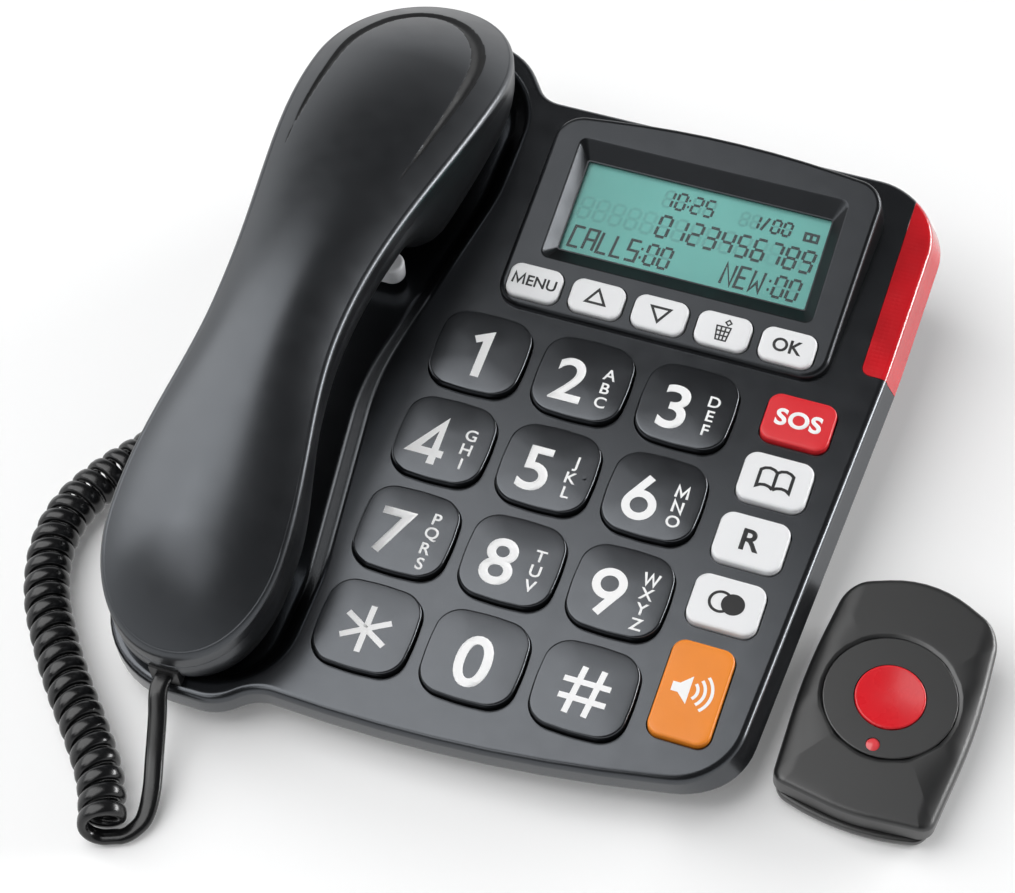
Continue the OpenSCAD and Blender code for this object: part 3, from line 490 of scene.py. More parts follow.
def smooth_faces(obj, angle=35):
    """Smooth shading that leaves large flat faces flat."""
    activate(obj)
    bpy.ops.object.shade_smooth_by_angle(angle=math.radians(angle))
    return modified(obj, "WEIGHTED_NORMAL", keep_sharp=True)


def wear(obj, body, slot, material, *replaced):
    """The last step for a piece: its material, the body it rides on, and the CAD nodes it stands for."""
    obj.data.materials.clear()
    obj.data.materials.append(material)
    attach(obj, body)
    if replaced:
        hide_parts(*replaced)
    print(obj.name, len(obj.data.polygons), "faces")
    return obj


def quarter(r, top=0.0, angles=(0, 18, 36, 54, 72, 90)):
    """Inset and height of the steps of a rounded edge of radius r, from the side up to the top."""
    turns = [math.radians(a) for a in angles]
    return [(r * (1 - math.cos(a)), top - r * (1 - math.sin(a))) for a in turns]


def stepped(corners, steps):
    """An outline at several steps of inset and height."""
    return [level(inset(corners, d), w) for d, w in steps]


print("rounded edge of 1 mm:", [(round(a, 2), round(b, 2)) for a, b in quarter(1)])

# %% [markdown]
# ## Finishes
# Moulded plastic is never quite one colour: it has a fine texture from the tool, a slow drift in tone, and
# places where hands have made it shinier. One recipe makes them all. A slow noise drifts the colour, a
# middle one drifts the roughness, and a fine one raises the grain of the mould. All of them read Object
# coordinates in metres, so a scale of 2000 means grains of about half a millimetre.

# %% Finish recipe
NOISE_LOW, NOISE_HIGH = 0.3, 0.7


def noise_of(tree, scale, detail=3):
    coord = tree.nodes.new("ShaderNodeTexCoord")
    noise = tree.nodes.new("ShaderNodeTexNoise")
    set_inputs(noise, Scale=scale, Detail=detail)
    tree.links.new(coord.outputs["Object"], noise.inputs["Vector"])
    return noise.outputs["Fac"]


def drift(tree, source, low, high, target):
    """Spreads a noise between two values on a socket."""
    spread = tree.nodes.new("ShaderNodeMapRange")
    set_inputs(spread, From_Min=NOISE_LOW, From_Max=NOISE_HIGH, To_Min=low, To_Max=high)
    tree.links.new(source, spread.inputs["Value"])
    tree.links.new(spread.outputs["Result"], target)


def tinted(tree, source, colour, share, target):
    """Drifts a colour a little darker and lighter with a noise."""
    ramp = tree.nodes.new("ShaderNodeValToRGB")
    for stop, at, scale in zip(ramp.color_ramp.elements, (NOISE_LOW, NOISE_HIGH), (1 - share, 1 + share)):
        stop.position = at
        stop.color = [min(1, c * scale) for c in colour] + [1]
    tree.links.new(source, ramp.inputs["Fac"])
    tree.links.new(ramp.outputs["Color"], target)


def worn(tree, shader, colour, share, rough, tone_scale=55, rough_scale=160):
    """Lets the colour drift by a share, and the roughness between two values."""
    tinted(tree, noise_of(tree, tone_scale), colour, share, shader.inputs["Base Color"])
    drift(tree, noise_of(tree, rough_scale), *rough, shader.inputs["Roughness"])


def raised(tree, shader, height, strength, depth):
    bump = tree.nodes.new("ShaderNodeBump")
    set_inputs(bump, Strength=strength, Distance=depth)
    tree.links.new(height, bump.inputs["Height"])
    tree.links.new(bump.outputs["Normal"], shader.inputs["Normal"])


def moulded(name, colour, rough, grain=2200, depth=0.000006, share=0.1, rough_share=0.05, specular=0.5, coat=0.0,
            tint=(1, 1, 1)):
    mat, tree, shader = nodes_of(name)
    worn(tree, shader, colour, share, (rough - rough_share, rough + rough_share))
    raised(tree, shader, noise_of(tree, grain, 2), 0.6, depth)
    set_inputs(shader, Specular_IOR_Level=specular, Specular_Tint=(*tint, 1), Coat_Weight=coat, Coat_Roughness=0.08)
    return mat


def satin(name, colour, rough, specular=1.0, share=0.06):
    """Polished black plastic, whose sheen is a little cool."""
    return moulded(name, colour, rough, share=share, rough_share=0.02, specular=specular, tint=(0.88, 0.93, 1.0))


BLACK = (0.0052, 0.0054, 0.006)
HOUSING = satin("satin_black_housing", (0.0052, 0.0054, 0.0062), 0.23)
DISPLAY_BLACK = satin("satin_black_display", BLACK, 0.3, specular=0.45)
HANDSET = satin("satin_black_handset", BLACK, 0.33, share=0.1)
GROOVE_BLACK = moulded("matt_black_groove", BLACK, 0.6, specular=0.3)
LOWER = moulded("matt_black_lower", (0.0105, 0.0107, 0.0115), 0.45)
NUMBER = satin("anthracite_key", (0.0056, 0.0058, 0.0066), 0.22)
SILVER = moulded("pale_silver_key", (0.79, 0.795, 0.805), 0.38, share=0.015)
SOS_RED = moulded("sos_red_key", (0.69, 0.022, 0.03), 0.36, share=0.05)
TALK_ORANGE = moulded("orange_speaker_key", (0.82, 0.24, 0.018), 0.38, share=0.05)
FOB_BLACK = moulded("satin_black_pendant", (0.007, 0.0071, 0.0074), 0.38, rough_share=0.02, specular=0.9)
FOB_RED = moulded("glossy_red_button", (0.66, 0.012, 0.02), 0.28, share=0.05)
PRINT_WHITE = moulded("white_print", (0.88, 0.88, 0.88), 0.5, share=0.02)
PRINT_BLACK = moulded("black_print", (0.012, 0.012, 0.013), 0.5)
HOOK_GREY = moulded("light_grey_tongue", (0.7, 0.71, 0.73), 0.42, share=0.04)
JACKET = moulded("glossy_cord_jacket", (0.005, 0.005, 0.0055), 0.24, grain=900, depth=0.00001)
curly.data.materials.append(JACKET)
lead.data.materials.append(JACKET)
print("finishes:", len(bpy.data.materials))

# %% [markdown]
# ## The deck cover
# The upper housing is one moulding: a flat sloping deck with a rounded rim, a long well for the handset at
# the left, and a hole for each key. It could be modelled face by face, but real tools cut such a part from
# a plate, and so does this cell: a plate is extruded through its rim, hollowed, and each opening is taken
# out of it with a Boolean that is applied at once.

# %% Outlines of the housing
AXIS_U, TIP_V, END_V, HOOK_V = -71.0, -70.0, 148.5, 63.7
BAND = 7.4
BASE_LINE = [(-94.5, -72, 25), (-57.5, -72.3, 13), (-49.5, -65.1, 11), (4, -67.8, 400), (69.6, -55.2, 19),
             (76.9, 72, 250), (77.8, 131.9, 20), (-40, 131.9, 8), (-51.5, 147.5, 20), (-95, 147.5, 27)]
WELL_LINE = [(-92, -68, 21), (-45, -68, 20), (-44.6, -30, 60), (-52.5, 30, 80), (-41.5, 95.5, 60),
             (-41.5, 142.5, 24), (-92.5, 142.5, 24)]
BEZEL_U = 14.6


def bezel_ring(d, front, r=7.0):
    return [(BEZEL_U - 46.15 + d, front, r - d), (BEZEL_U + 45.15 - d, front, r - d),
            (BEZEL_U + 46.55 - d, 60 - d, 8 - d), (BEZEL_U, 64.6 - d, 280), (BEZEL_U - 45.15 + d, 59 - d, 8 - d)]


def key_line(w, d, r, s):
    """The outline of a number key, whose sides bow out by s."""
    x, y, big = w / 2, d / 2, 2 * w
    return [(s - x, s - y, r), (0, -y, big), (x - s, s - y, r), (x, 0, big),
            (x - s, y - s, r), (0, y, big), (s - x, y - s, r), (-x, 0, big)]


LENS_ZONE = [(68.2, 68.3, 2.4), (101.6, 68.3, 2), (101.6, 151.9, 2), (68.2, 151.9, 2)]
PITCH, KEY_GAP = 28.5, 0.4
NUMBER_AT = [((i % 3 - 1) * PITCH, (1.5 - i // 3) * PITCH) for i in range(12)]
NUMBER_CAP_AT = [(u - 0.2, v + 1.2) for u, v in NUMBER_AT]
NUMBER_LINE = key_line(25.2, 24.6, 6.8, 0.7)
SIDE_AT = [(54.8 + 0.0465 * v, v) for v in (48.1, 29.2, 10.3, -8.6, -34.3)]
SIDE_SIZE = [(18.2, 14.5)] * 4 + [(15.9, 26.8)]
MENU_AT = [(13.3 + (k - 2) * 17.5, 7.0) for k in range(5)]
print("key places:", len(NUMBER_AT) + len(SIDE_AT) + len(MENU_AT))

# %% Rim and hollow
EDGE, WALL = 2.1, 2.4
FLARE_FROM, FLARE_RUN = 52, 16


def flared(ring, by):
    """Moves the right side of a ring outwards, where the rim leans."""
    return [p + Vector((by * ease((p.x - FLARE_FROM) / FLARE_RUN), 0, 0)) for p in ring]


def rim_plate(name):
    steps = [(0.6, -BAND, 1.3), (0.15, -BAND + 0.2, 1.3), (0, -BAND + 0.7, 1.2)]
    steps += [(d, w, -1.1) for d, w in quarter(EDGE)]
    return extruded(name, [flared(level(inset(BASE_LINE, d), w), by) for d, w, by in steps], DECK)


def hollow():
    return slab("hollow", inset(BASE_LINE, WALL), -BAND - 1, -WALL, DECK)


well_wall = extruded("well_wall", stepped(WELL_LINE, ((3.26, -9), (-WALL, -1.2))), DECK)
deck_cover = cut(rim_plate("deck_cover"), [cut(hollow(), [well_wall])])
print("hollow plate:", len(deck_cover.data.polygons), "faces")

# %% [markdown]
# The well has a soft rim and a rounded floor, so its cutter is a stack of outlines that lean inwards as they
# go down. The key holes are 0.4 mm larger than the keys all round.

# %% Well and openings
well = extruded("well", stepped(WELL_LINE, (
    (6.2, -5), (5.2, -4.86), (4.5, -4.45), (3.9, -3.8), (1.7, -1.35), (1.0, -0.68), (0.3, -0.2), (-0.7, 0.02),
    (-0.7, 1))), DECK)
holes = [slab("hole", moved(inset(NUMBER_LINE, -KEY_GAP), *spot), -4, 1, DECK) for spot in NUMBER_CAP_AT]
holes += [slab("hole", plate_line(w + 2 * KEY_GAP, d + 2 * KEY_GAP, 3.8, *spot), -4, 1, DECK)
          for (w, d), spot in zip(SIDE_SIZE, SIDE_AT)]
holes.append(slab("hole", plate_line(6.8, 6, 0.6, AXIS_U, HOOK_V), -9, 0, DECK))
opening = slab("opening", bezel_ring(1.4, 0.9, 5.4), -30, 10, BEZEL)
lens_gap = slab("lens_gap", inset(LENS_ZONE, -0.15), -BAND - 2, 2, DECK)
cut(deck_cover, [well, joined(holes), opening, lens_gap])
smooth_faces(deck_cover, 32)
wear(deck_cover, "base", "housing", HOUSING, "top_cover")

# %% [markdown]
# ## The call light
# A red lens wraps round the right rear edge of the deck and flashes when a call comes in. It continues the
# rim without a step, so it is the same rim plate, kept only where the zone of the lens is. Behind the clear
# red plastic the real lens has a grid of small prisms, and a regular Voronoi pattern in the bump stands for them.

# %% Lens
lens = cut(rim_plate("alert_lens_piece"), [hollow()])
cut(lens, [slab("zone", LENS_ZONE, -BAND - 2, 2, DECK)], "INTERSECT")
smooth_faces(lens, 32)
LENS_RED, tree, shader = nodes_of("clear_red_lens")
worn(tree, shader, (0.52, 0.008, 0.014), 0.15, (0.16, 0.24), 80, 200)
coord = tree.nodes.new("ShaderNodeTexCoord")
prisms = tree.nodes.new("ShaderNodeTexVoronoi")
set_inputs(prisms, Scale=800, Randomness=0.0)
tree.links.new(coord.outputs["Object"], prisms.inputs["Vector"])
raised(tree, shader, prisms.outputs["Distance"], 0.5, 0.0001)
set_inputs(shader, Coat_Weight=0.6, Coat_Roughness=0.1)
wear(lens, "base", "red_lens", LENS_RED, "alert_lens")

# %% [markdown]
# ## The lower cover
# The lower half stands in from the rim, so that it lies in shadow. Its walls are square to the deck, and the
# desk cuts them off level. It is extruded downwards past the desk, trimmed with a bisecting plane two
# millimetres above it, and hollowed by a smaller copy that is trimmed in the same way.

# %% Lower cover
def below_deck(name, d, high, z):
    return trimmed(slab(name, inset(BASE_LINE, d), -70, high, DECK), DESK @ Vector((0, 0, z)), (0, 0, 1))


lower = cut(below_deck("lower_cover", 5, -BAND, 2), [below_deck("inside", 7.2, 0, 4.2)])
FEET_AT = [(-76, -42), (50, -42), (-76, 106), (60, 95)]
SCREWS_AT = [(-70, -20), (-70, 125), (62, 118.5), (42.8, 58.6)]
sockets = [slab("socket", disc_line(6.1, *spot), 0, 2.5, DESK) for spot in FEET_AT]
sockets += [slab("socket", disc_line(3.6, *spot), 0, 6, DESK) for spot in SCREWS_AT]
sockets += [slab("slot", plate_line(20, 2, 0.9, 38, 104 + 6 * k), 0, 6, DESK) for k in range(-2, 3)]
sockets.append(slab("bay", plate_line(44, 48, 0.3, 6, 55), 0, 15.4, DESK))
cut(lower, [joined(sockets)])
cut(lower, [slab("jack", plate_line(10, 6.8, 0.4), 0, 30, DECK @ shift(2, 111.9, -27) @ turn_by(-90, "X")),
            slab("jack", plate_line(6.8, 8, 0.4), 0, 24, DECK @ shift(-104.7, 17, -13.5) @ turn_by(90, "Y"))])
smooth_faces(lower, 32)
wear(lower, "base", "housing", LOWER, "bottom_cover")

# %% [markdown]
# ## The display housing
# A wedge stands on the deck behind the number keys and tilts the display up to the eye. Its top is a plate
# with a rounded edge, its walls widen a little downwards, and the deck cuts it off. A window recess with
# sloping sides and five key holes are taken out of the top.

# %% Display housing
WINDOW_B, WINDOW_W, WINDOW_D = 34.4, 68.7, 27.6


def window_line(wider, deeper, r):
    return plate_line(WINDOW_W + wider, WINDOW_D + deeper, r, BEZEL_U, WINDOW_B)


rings = [level(bezel_ring(-1.5, -0.6, 6.0), -16), level(bezel_ring(0, 0), -1.5)]
rings += [level(bezel_ring(d, d), w) for d, w in quarter(1.5)[1:]]
bezel = trimmed(extruded("display_housing", rings, BEZEL), DECK.translation, DECK.to_3x3() @ Vector((0, 0, 1)))
space = slab("space", bezel_ring(1.4, 1.4), -30, -2.4, BEZEL)
cut(space, [slab("ledge", window_line(10, 10, 1), -4.1, 0, BEZEL)])
cut(bezel, [space])
recess = extruded("recess", [level(window_line(a, b, r), w) for a, b, r, w in (
    (0.8, 0.8, 0.8, -3.5), (6.2, 9.2, 2.0, -0.45), (6.8, 10.0, 2.2, -0.1), (7.6, 10.9, 2.5, 0.06),
    (7.6, 10.9, 2.5, 1))], BEZEL)
window = slab("window", window_line(0, 0, 0.5), -13, -1, BEZEL)
holes = [slab("hole", plate_line(15.6, 10.6, 3.4, *spot), -4, 1, BEZEL) for spot in MENU_AT]
cut(bezel, [recess, window, joined(holes)])
smooth_faces(bezel, 32)
wear(bezel, "base", "housing", DISPLAY_BLACK, "display_bezel")

# %% [markdown]
# ## Keys
# A key is a cap with straight sides, a rounded edge and a slightly crowned top. Each starts as its outline at
# the bottom of the skirt, is extruded up to the edge, rounded, and then drawn in towards its middle while it
# rises a little more. The skirt is short enough that a pressed key stays clear of the rubber mat.

# %% Key caps
def cap(name, line, at, low, top, edge, crown, place):
    rings = stepped(line, [(0, low)] + quarter(edge, top))
    edge_ring = rings[-1]
    for f in (0.9, 0.75, 0.55, 0.35, 0.15):
        rings.append([Vector((p.x * f, p.y * f, top + crown * (1 - f * f))) for p in edge_ring])
    return smooth_faces(extruded(name, rings, place @ shift(*at)), 50)


NUMBER_NAMES = ["1", "2", "3", "4", "5", "6", "7", "8", "9", "star", "0", "hash"]
SIDE_NAMES = ["sos", "phonebook", "recall", "redial", "speaker"]
MENU_NAMES = ["menu", "up", "down", "delete", "ok"]
SKIRT = -2.3
caps = {}


def add_key(name, key, slot, finish, plane):
    """Dresses a cap and notes its slot and the plane that its legend is drawn on."""
    caps[name] = (wear(key, "key_" + name, slot, finish, "key_" + name), slot, plane)


for name, at, spot in zip(NUMBER_NAMES, NUMBER_AT, NUMBER_CAP_AT):
    key = cap("cap_" + name, NUMBER_LINE, spot, SKIRT, 2.25, 0.6, 0.3, DECK)
    add_key(name, key, "dark_key", NUMBER, DECK @ shift(*at))

# %% Small caps
SIDE_FINISH = {"sos": ("red_key", SOS_RED), "speaker": ("orange_key", TALK_ORANGE)}
for name, at, size in zip(SIDE_NAMES, SIDE_AT, SIDE_SIZE):
    slot, finish = SIDE_FINISH.get(name, ("silver_key", SILVER))
    key = cap("cap_" + name, plate_line(*size, 3.4), at, SKIRT, 1.9, 0.7, 0.1, DECK)
    add_key(name, key, slot, finish, DECK @ shift(*at))
for name, at in zip(MENU_NAMES, MENU_AT):
    key = cap("cap_" + name, plate_line(14.8, 9.8, 3), at, SKIRT, 1.4, 0.8, 0.1, BEZEL)
    add_key(name, key, "silver_key", SILVER, BEZEL @ shift(*at))

# %% [markdown]
# ## Legends
# The legends are printed: a film of ink a few hundredths of a millimetre thick that follows the crowned top.
# Letters come from Blender's own font, made bolder by their offset, and turned into a mesh. Signs, and the few
# letters and digits that the font draws otherwise, are strokes. The mesh is cut fine, each point is dropped
# onto the key below it, and the film gets its thickness from a Solidify modifier.

# %% Printing on a key
DRAW_H, FILM_H, FILM_T = 3.2, 0.000045, 0.00003


def as_film(obj):
    return modified(obj, "SOLIDIFY", thickness=FILM_T, offset=-1)


def lay_on(obj, under, place):
    """Drops a flat drawing (in metres, above the piece) onto the piece under it."""
    edit(obj, bpy.ops.mesh.quads_convert_to_tris, lambda: bpy.ops.mesh.subdivide(number_cuts=2))
    down = (place.to_3x3() @ Vector((0, 0, -1))).normalized()
    bpy.context.view_layer.update()
    for v in obj.data.vertices:
        hit, spot, _, _ = under.ray_cast(v.co - down * 0.004, down)
        if hit:
            v.co = spot - down * FILM_H
    return as_film(obj)


def letters(place, text, size, bold, centre=(0, 0)):
    """Text as a flat mesh, centred on its own outline at centre, on the plane of place."""
    data = bpy.data.curves.new("letters", "FONT")
    data.body, data.size, data.offset = text, size, bold
    data.resolution_u = 6
    obj = bpy.data.objects.new("letters", data)
    bpy.context.scene.collection.objects.link(obj)
    activate(obj)
    bpy.ops.object.convert(target="MESH")
    xs = [v.co.x for v in obj.data.vertices]
    ys = [v.co.y for v in obj.data.vertices]
    mid = Vector(((min(xs) + max(xs)) / 2, (min(ys) + max(ys)) / 2, 0))
    obj.data.transform(place @ shift(*centre, DRAW_H) @ shift(*-mid))
    return obj


def facing_up(obj):
    if obj.data.polygons[0].normal.z < 0:
        obj.data.flip_normals()
    return obj


def strokes(place, lines, width, at=(0, 0)):
    """Polylines as flat ribbons with mitred corners. A line that ends where it starts is closed."""
    verts, faces = [], []
    for line in lines:
        pts = [Vector((x + at[0], y + at[1])) for x, y in line]
        ring = (pts[0] - pts[-1]).length < 1e-6
        pts = pts[:-1] if ring else pts
        first = len(verts)
        for k, p in enumerate(pts):
            a = pts[k - 1] if ring or k else p
            b = pts[(k + 1) % len(pts)] if ring or k < len(pts) - 1 else p
            m = (p - a).normalized() if a != p else (b - p).normalized()
            n = (b - p).normalized() if b != p else m
            side = Vector((-m.y - n.y, m.x + n.x)).normalized()
            reach = width / 2 / max(0.45, side.dot(Vector((-m.y, m.x))))
            verts += [Vector((*(p + side * reach), DRAW_H)), Vector((*(p - side * reach), DRAW_H))]
        for k in range(len(pts) if ring else len(pts) - 1):
            i, j = first + 2 * k, first + 2 * ((k + 1) % len(pts))
            faces.append((i, i + 1, j + 1, j))
    return facing_up(from_points("strokes", verts, faces, place))


def filled(place, line):
    """A closed outline as one flat face."""
    return facing_up(from_points("filled", [(x, y, DRAW_H) for x, y in line], [range(len(line))], place))


def circle_line(x, y, r, start=0, end=360, n=36):
    return [(x + r * math.cos(math.radians(start + (end - start) * k / n)),
             y + r * math.sin(math.radians(start + (end - start) * k / n))) for k in range(n + 1)]


def print_on(name, ink, *drawings):
    """Makes drawings, each a helper and what it takes, on the plane of a key, and prints them on the key."""
    key, slot, plane = caps[name]
    film = lay_on(joined([make(plane, *what) for make, *what in drawings]), key, plane)
    film.name = film.data.name = "print_" + name
    return wear(film, "key_" + name, slot, ink)


print("legend helpers ready")

# %% Legends of the number keys
SMALL = {"2": "ABC", "3": "DEF", "4": "GHI", "5": "JKL", "6": "MNO", "7": "PQRS", "8": "TUV", "9": "WXYZ"}
DRAWN = {"M": [(-1.5, -1.65), (-1.3, 1.65), (0, -1.0), (1.3, 1.65), (1.5, -1.65)],
         "N": [(-1.15, -1.65), (-1.15, 1.65), (1.15, -1.65), (1.15, 1.65)],
         "W": [(-1.9, 1.65), (-0.95, -1.65), (0, 1.3), (0.95, -1.65), (1.9, 1.65)]}
BIG = {"4": [[(1.9, -6.8), (1.9, 5.6), (-4.0, -3.4), (4.3, -3.4)]],
       "6": [circle_line(0, -2.3, 3.4), [(-2.95, -0.6), (1.1, 6.4)]],
       "9": [circle_line(0, 2.3, 3.4), [(2.95, 0.6), (-1.1, -6.4)]]}
SIGNS = {"1": (strokes, [[(-2.6, 4.3), (0.75, 6.1), (0.75, -6.9)]], 2.3),
         "star": (strokes, [[(0, 0), circle_line(0, 0, 6.6, 90, 450, 6)[k]] for k in range(6)], 1.55),
         "0": (letters, "0", 19.8, 0.26, (0, -0.4)),
         "hash": (strokes, [[(-1.6 + t, 6.6), (-3.1 + t, -6.6)] for t in (0, 4.9)]
                  + [[(-5.9, 2.3 - t), (6.1, 2.3 - t)] for t in (0, 4.6)], 1.55)}
BIG_AT, SMALL_U, SMALL_STEP = (-3.2, -0.4), 6.4, 4.4
for name in NUMBER_NAMES:
    if name in SIGNS:
        print_on(name, PRINT_WHITE, SIGNS[name])
        continue
    art = [(strokes, BIG[name], 2.15, BIG_AT) if name in BIG else (letters, name, 18.6, 0.26, BIG_AT)]
    for k, letter in enumerate(SMALL[name]):
        spot = (SMALL_U, (len(SMALL[name]) - 1) * SMALL_STEP / 2 - SMALL_STEP * k - 0.4)
        art.append((strokes, [DRAWN[letter]], 0.68, spot) if letter in DRAWN else (letters, letter, 4.7, 0.07, spot))
    print_on(name, PRINT_WHITE, *art)

# %% Legends of the side and menu keys
HORN = [(-5.0, -1.3), (-3.2, -1.3), (-0.5, -3.9), (-0.5, 3.9), (-3.2, 1.3), (-5.0, 1.3)]
WAVES = [circle_line(-1.4, 0, r, -46, 46, 12) for r in (2.9, 4.7, 6.5)]
PAGE = [(0, 2.1), (0.9, 2.8), (2.2, 3.1), (3.4, 2.8), (4.3, 2.1), (4.3, -2.9), (3.4, -2.3), (2.2, -2.1), (0.9, -2.4),
        (0, -3.1)]
BOOK = [PAGE, [(-x, y) for x, y in PAGE], [(0, 2.1), (0, -3.1)]]
BIG_M = [(-5.9, -1.5), (-5.6, 1.5), (-4.35, -1.0), (-3.1, 1.5), (-2.8, -1.5)]
TRIANGLE = [(-2.6, -1.7), (2.6, -1.7), (0, 2.4), (-2.6, -1.7)]
BIN = [[(-1.9, 0.9), (-1.4, -3.0), (1.4, -3.0), (1.9, 0.9), (-1.9, 0.9)], [(-1.75, -0.4), (1.75, -0.4)],
       [(-1.6, -1.7), (1.6, -1.7)], [(-0.6, 0.9), (-0.45, -3.0)], [(0.6, 0.9), (0.45, -3.0)],
       [(0.1, 2.3), (0.9, 3.1), (1.7, 2.3), (0.9, 1.5), (0.1, 2.3)]]
print_on("sos", PRINT_WHITE, *[(letters, c, 6.9, 0.22, (x, 0)) for c, x in (("S", -4.6), ("O", 0), ("S", 4.6))])
print_on("speaker", PRINT_WHITE, (filled, HORN), (strokes, WAVES, 0.8))
print_on("recall", PRINT_BLACK, (letters, "R", 8.6, 0.2))
print_on("phonebook", PRINT_BLACK, (strokes, BOOK, 0.85))
print_on("redial", PRINT_BLACK, (strokes, [circle_line(-1.5, 0, 2.8, 48, 312)], 0.75),
         (filled, circle_line(1.7, 0, 3.0)[:-1]))
print_on("menu", PRINT_BLACK, (strokes, [BIG_M], 0.62), (letters, "ENU", 4.35, 0.08, (2.0, 0)))
print_on("ok", PRINT_BLACK, (letters, "OK", 5.3, 0.12))
print_on("up", PRINT_BLACK, (strokes, [TRIANGLE], 0.7))
print_on("down", PRINT_BLACK, (strokes, [[(x, -y) for x, y in TRIANGLE]], 0.7))
print_on("delete", PRINT_BLACK, (strokes, BIN, 0.42))

# %% Raised nib on the middle key
nib = slab("nib_5", disc_line(0.55), 2.1, 2.75, caps["5"][2] @ shift(9.6, 0.8))
wear(smooth_faces(nib, 40), "key_5", "dark_key", NUMBER)

# %% [markdown]
# ## The display
# A reflective liquid crystal panel is a flat teal sheet with dark segments that seem to float in it. The
# panel is the CAD solid with a finer material. Its digits are drawn as the seven strokes that such a panel
# has, and the strokes that are off stay faintly visible, as on a real one. What it says is generic.

# %% Panel and window
PANEL, tree, shader = nodes_of("teal_panel")
worn(tree, shader, (0.15, 0.47, 0.425), 0.08, (0.32, 0.42), 35, 300)
set_inputs(shader, Specular_IOR_Level=0.25)
GLASS, tree, shader = nodes_of("clear_window")
worn(tree, shader, (0.5, 0.56, 0.56), 0.1, (0.05, 0.1), 40, 500)
set_inputs(shader, Alpha=0.06)
GLASS.surface_render_method = "BLENDED"
SEGMENT = moulded("dark_segment", (0.006, 0.02, 0.022), 0.5)
GHOST = moulded("faint_segment", (0.11, 0.36, 0.33), 0.5)


def dress(node, material):
    """A CAD node that stays gets a better material."""
    obj = nodes[node]
    if not obj.material_slots:
        obj.data.materials.append(material)
    for s in obj.material_slots:
        s.material = material


dress("lcd_panel", PANEL)
dress("display_window", GLASS)
print("display dressed")

# %% Seven strokes
STROKES = {"a": ((0.1, 2), (0.9, 2)), "b": ((1, 1.9), (1, 1.1)), "c": ((1, 0.9), (1, 0.1)),
           "d": ((0.9, 0), (0.1, 0)), "e": ((0, 0.1), (0, 0.9)), "f": ((0, 1.1), (0, 1.9)), "g": ((0.1, 1), (0.9, 1))}
DIGITS = ["abcdef", "bc", "abged", "abgcd", "fgbc", "afgcd", "afgedc", "abc", "abcdefg", "abcdfg"]
PANEL_TOP, LEAN = -4.9, 0.1
PANEL_PLACE = BEZEL @ shift(BEZEL_U, WINDOW_B, PANEL_TOP + 0.04 - DRAW_H)


def sloped(line, x, y, w, h):
    """A line drawn in a cell 1 wide and 2 high, set at x, y in a cell of w by h that leans to the right."""
    return [(x + w * px + LEAN * h * py / 2, y + h / 2 * py) for px, py in line]


def digit(char, x, y, w, h, faint):
    on = DIGITS[int(char)] if char != " " else ""
    return [sloped(ends, x, y, w, h) for name, ends in STROKES.items() if (name in on) != faint]


def figures(text, x, y, w, h, gap, faint):
    out = []
    for char in text:
        if char == ":":
            out += [] if faint else [[(x - gap * 0.2, y + h * f), (x - gap * 0.2 + 0.5, y + h * f)] for f in (0.3, 0.7)]
            x += gap * 0.7
        elif char == "/":
            out += [] if faint else [[(x, y), (x + w * 0.8, y + h)]]
            x += w + gap * 0.6
        else:
            out += digit(char, x, y, w, h, faint)
            x += w + gap
    return out


LETTERS = {"C": [[(1, 2), (0, 2), (0, 0), (1, 0)]], "A": [[(0, 0), (0, 2), (1, 2), (1, 0)], [(0.1, 1), (0.9, 1)]],
           "L": [[(0, 2), (0, 0), (1, 0)]], "S": [[(1, 2), (0, 2), (0, 1), (1, 1), (1, 0), (0, 0)]],
           "N": [[(0, 0), (0, 2), (1, 0), (1, 2)]], "E": [[(1, 2), (0, 2), (0, 0), (1, 0)], [(0.1, 1), (0.8, 1)]],
           "W": [[(0, 2), (0, 0), (0.5, 0.9), (1, 0), (1, 2)]]}


def spelled(text, x, y, w, h, gap):
    out = []
    for char in text:
        out += [sloped(line, x, y, w, h) for line in LETTERS[char]]
        x += w + gap
    return out


for name, faint, ink in (("lcd_figures", False, SEGMENT), ("lcd_ghosts", True, GHOST)):
    small = figures("10:25", -11.5, 6.6, 2.3, 4.9, 1.25, faint) + figures(" 1/00", 10.2, 6.6, 2.0, 4.0, 1.1, faint)
    middle = figures("     0123456789", -33, -2.6, 2.95, 6.4, 1.5, faint)
    low = figures("00", -11.4, -11.6, 2.6, 6.2, 1.3, faint) + figures("00", 24.4, -11.6, 2.6, 6.2, 1.3, faint)
    if not faint:
        low += spelled("CALLS", -32.6, -11.6, 2.7, 6.2, 1.3) + spelled("NEW", 10.2, -11.6, 2.7, 6.2, 1.3)
        low += [[(x, y), (x + 0.6, y)] for x in (-12.9, 22.9) for y in (-10.0, -7.4)]
        low += [[(28.5, 8.9), (28.5, 6.8), (32, 6.8), (32, 8.9), (28.5, 8.9)], [(30.2, 8.9), (30.2, 6.8)]]
    rows = ((small, 0.72), (middle, 0.85), (low, 0.8))
    film = as_film(joined([strokes(PANEL_PLACE, lines, width) for lines, width in rows]))
    film.name = film.data.name = name
    wear(film, "base", "display", ink)

# %% [markdown]
# ## The handset
# The handset is an arch with a wide ear end, a narrow grip and a mouth end. Its back is one smooth dome with
# a sharp round shoulder, and a horseshoe groove frames the dome at the ear end. Sculpting would not keep the
# outline true, so the back is grown as loops that run parallel to the outline: in along the parting line, up
# the straight side, round the shoulder, and then in towards the middle line, where they fold shut.

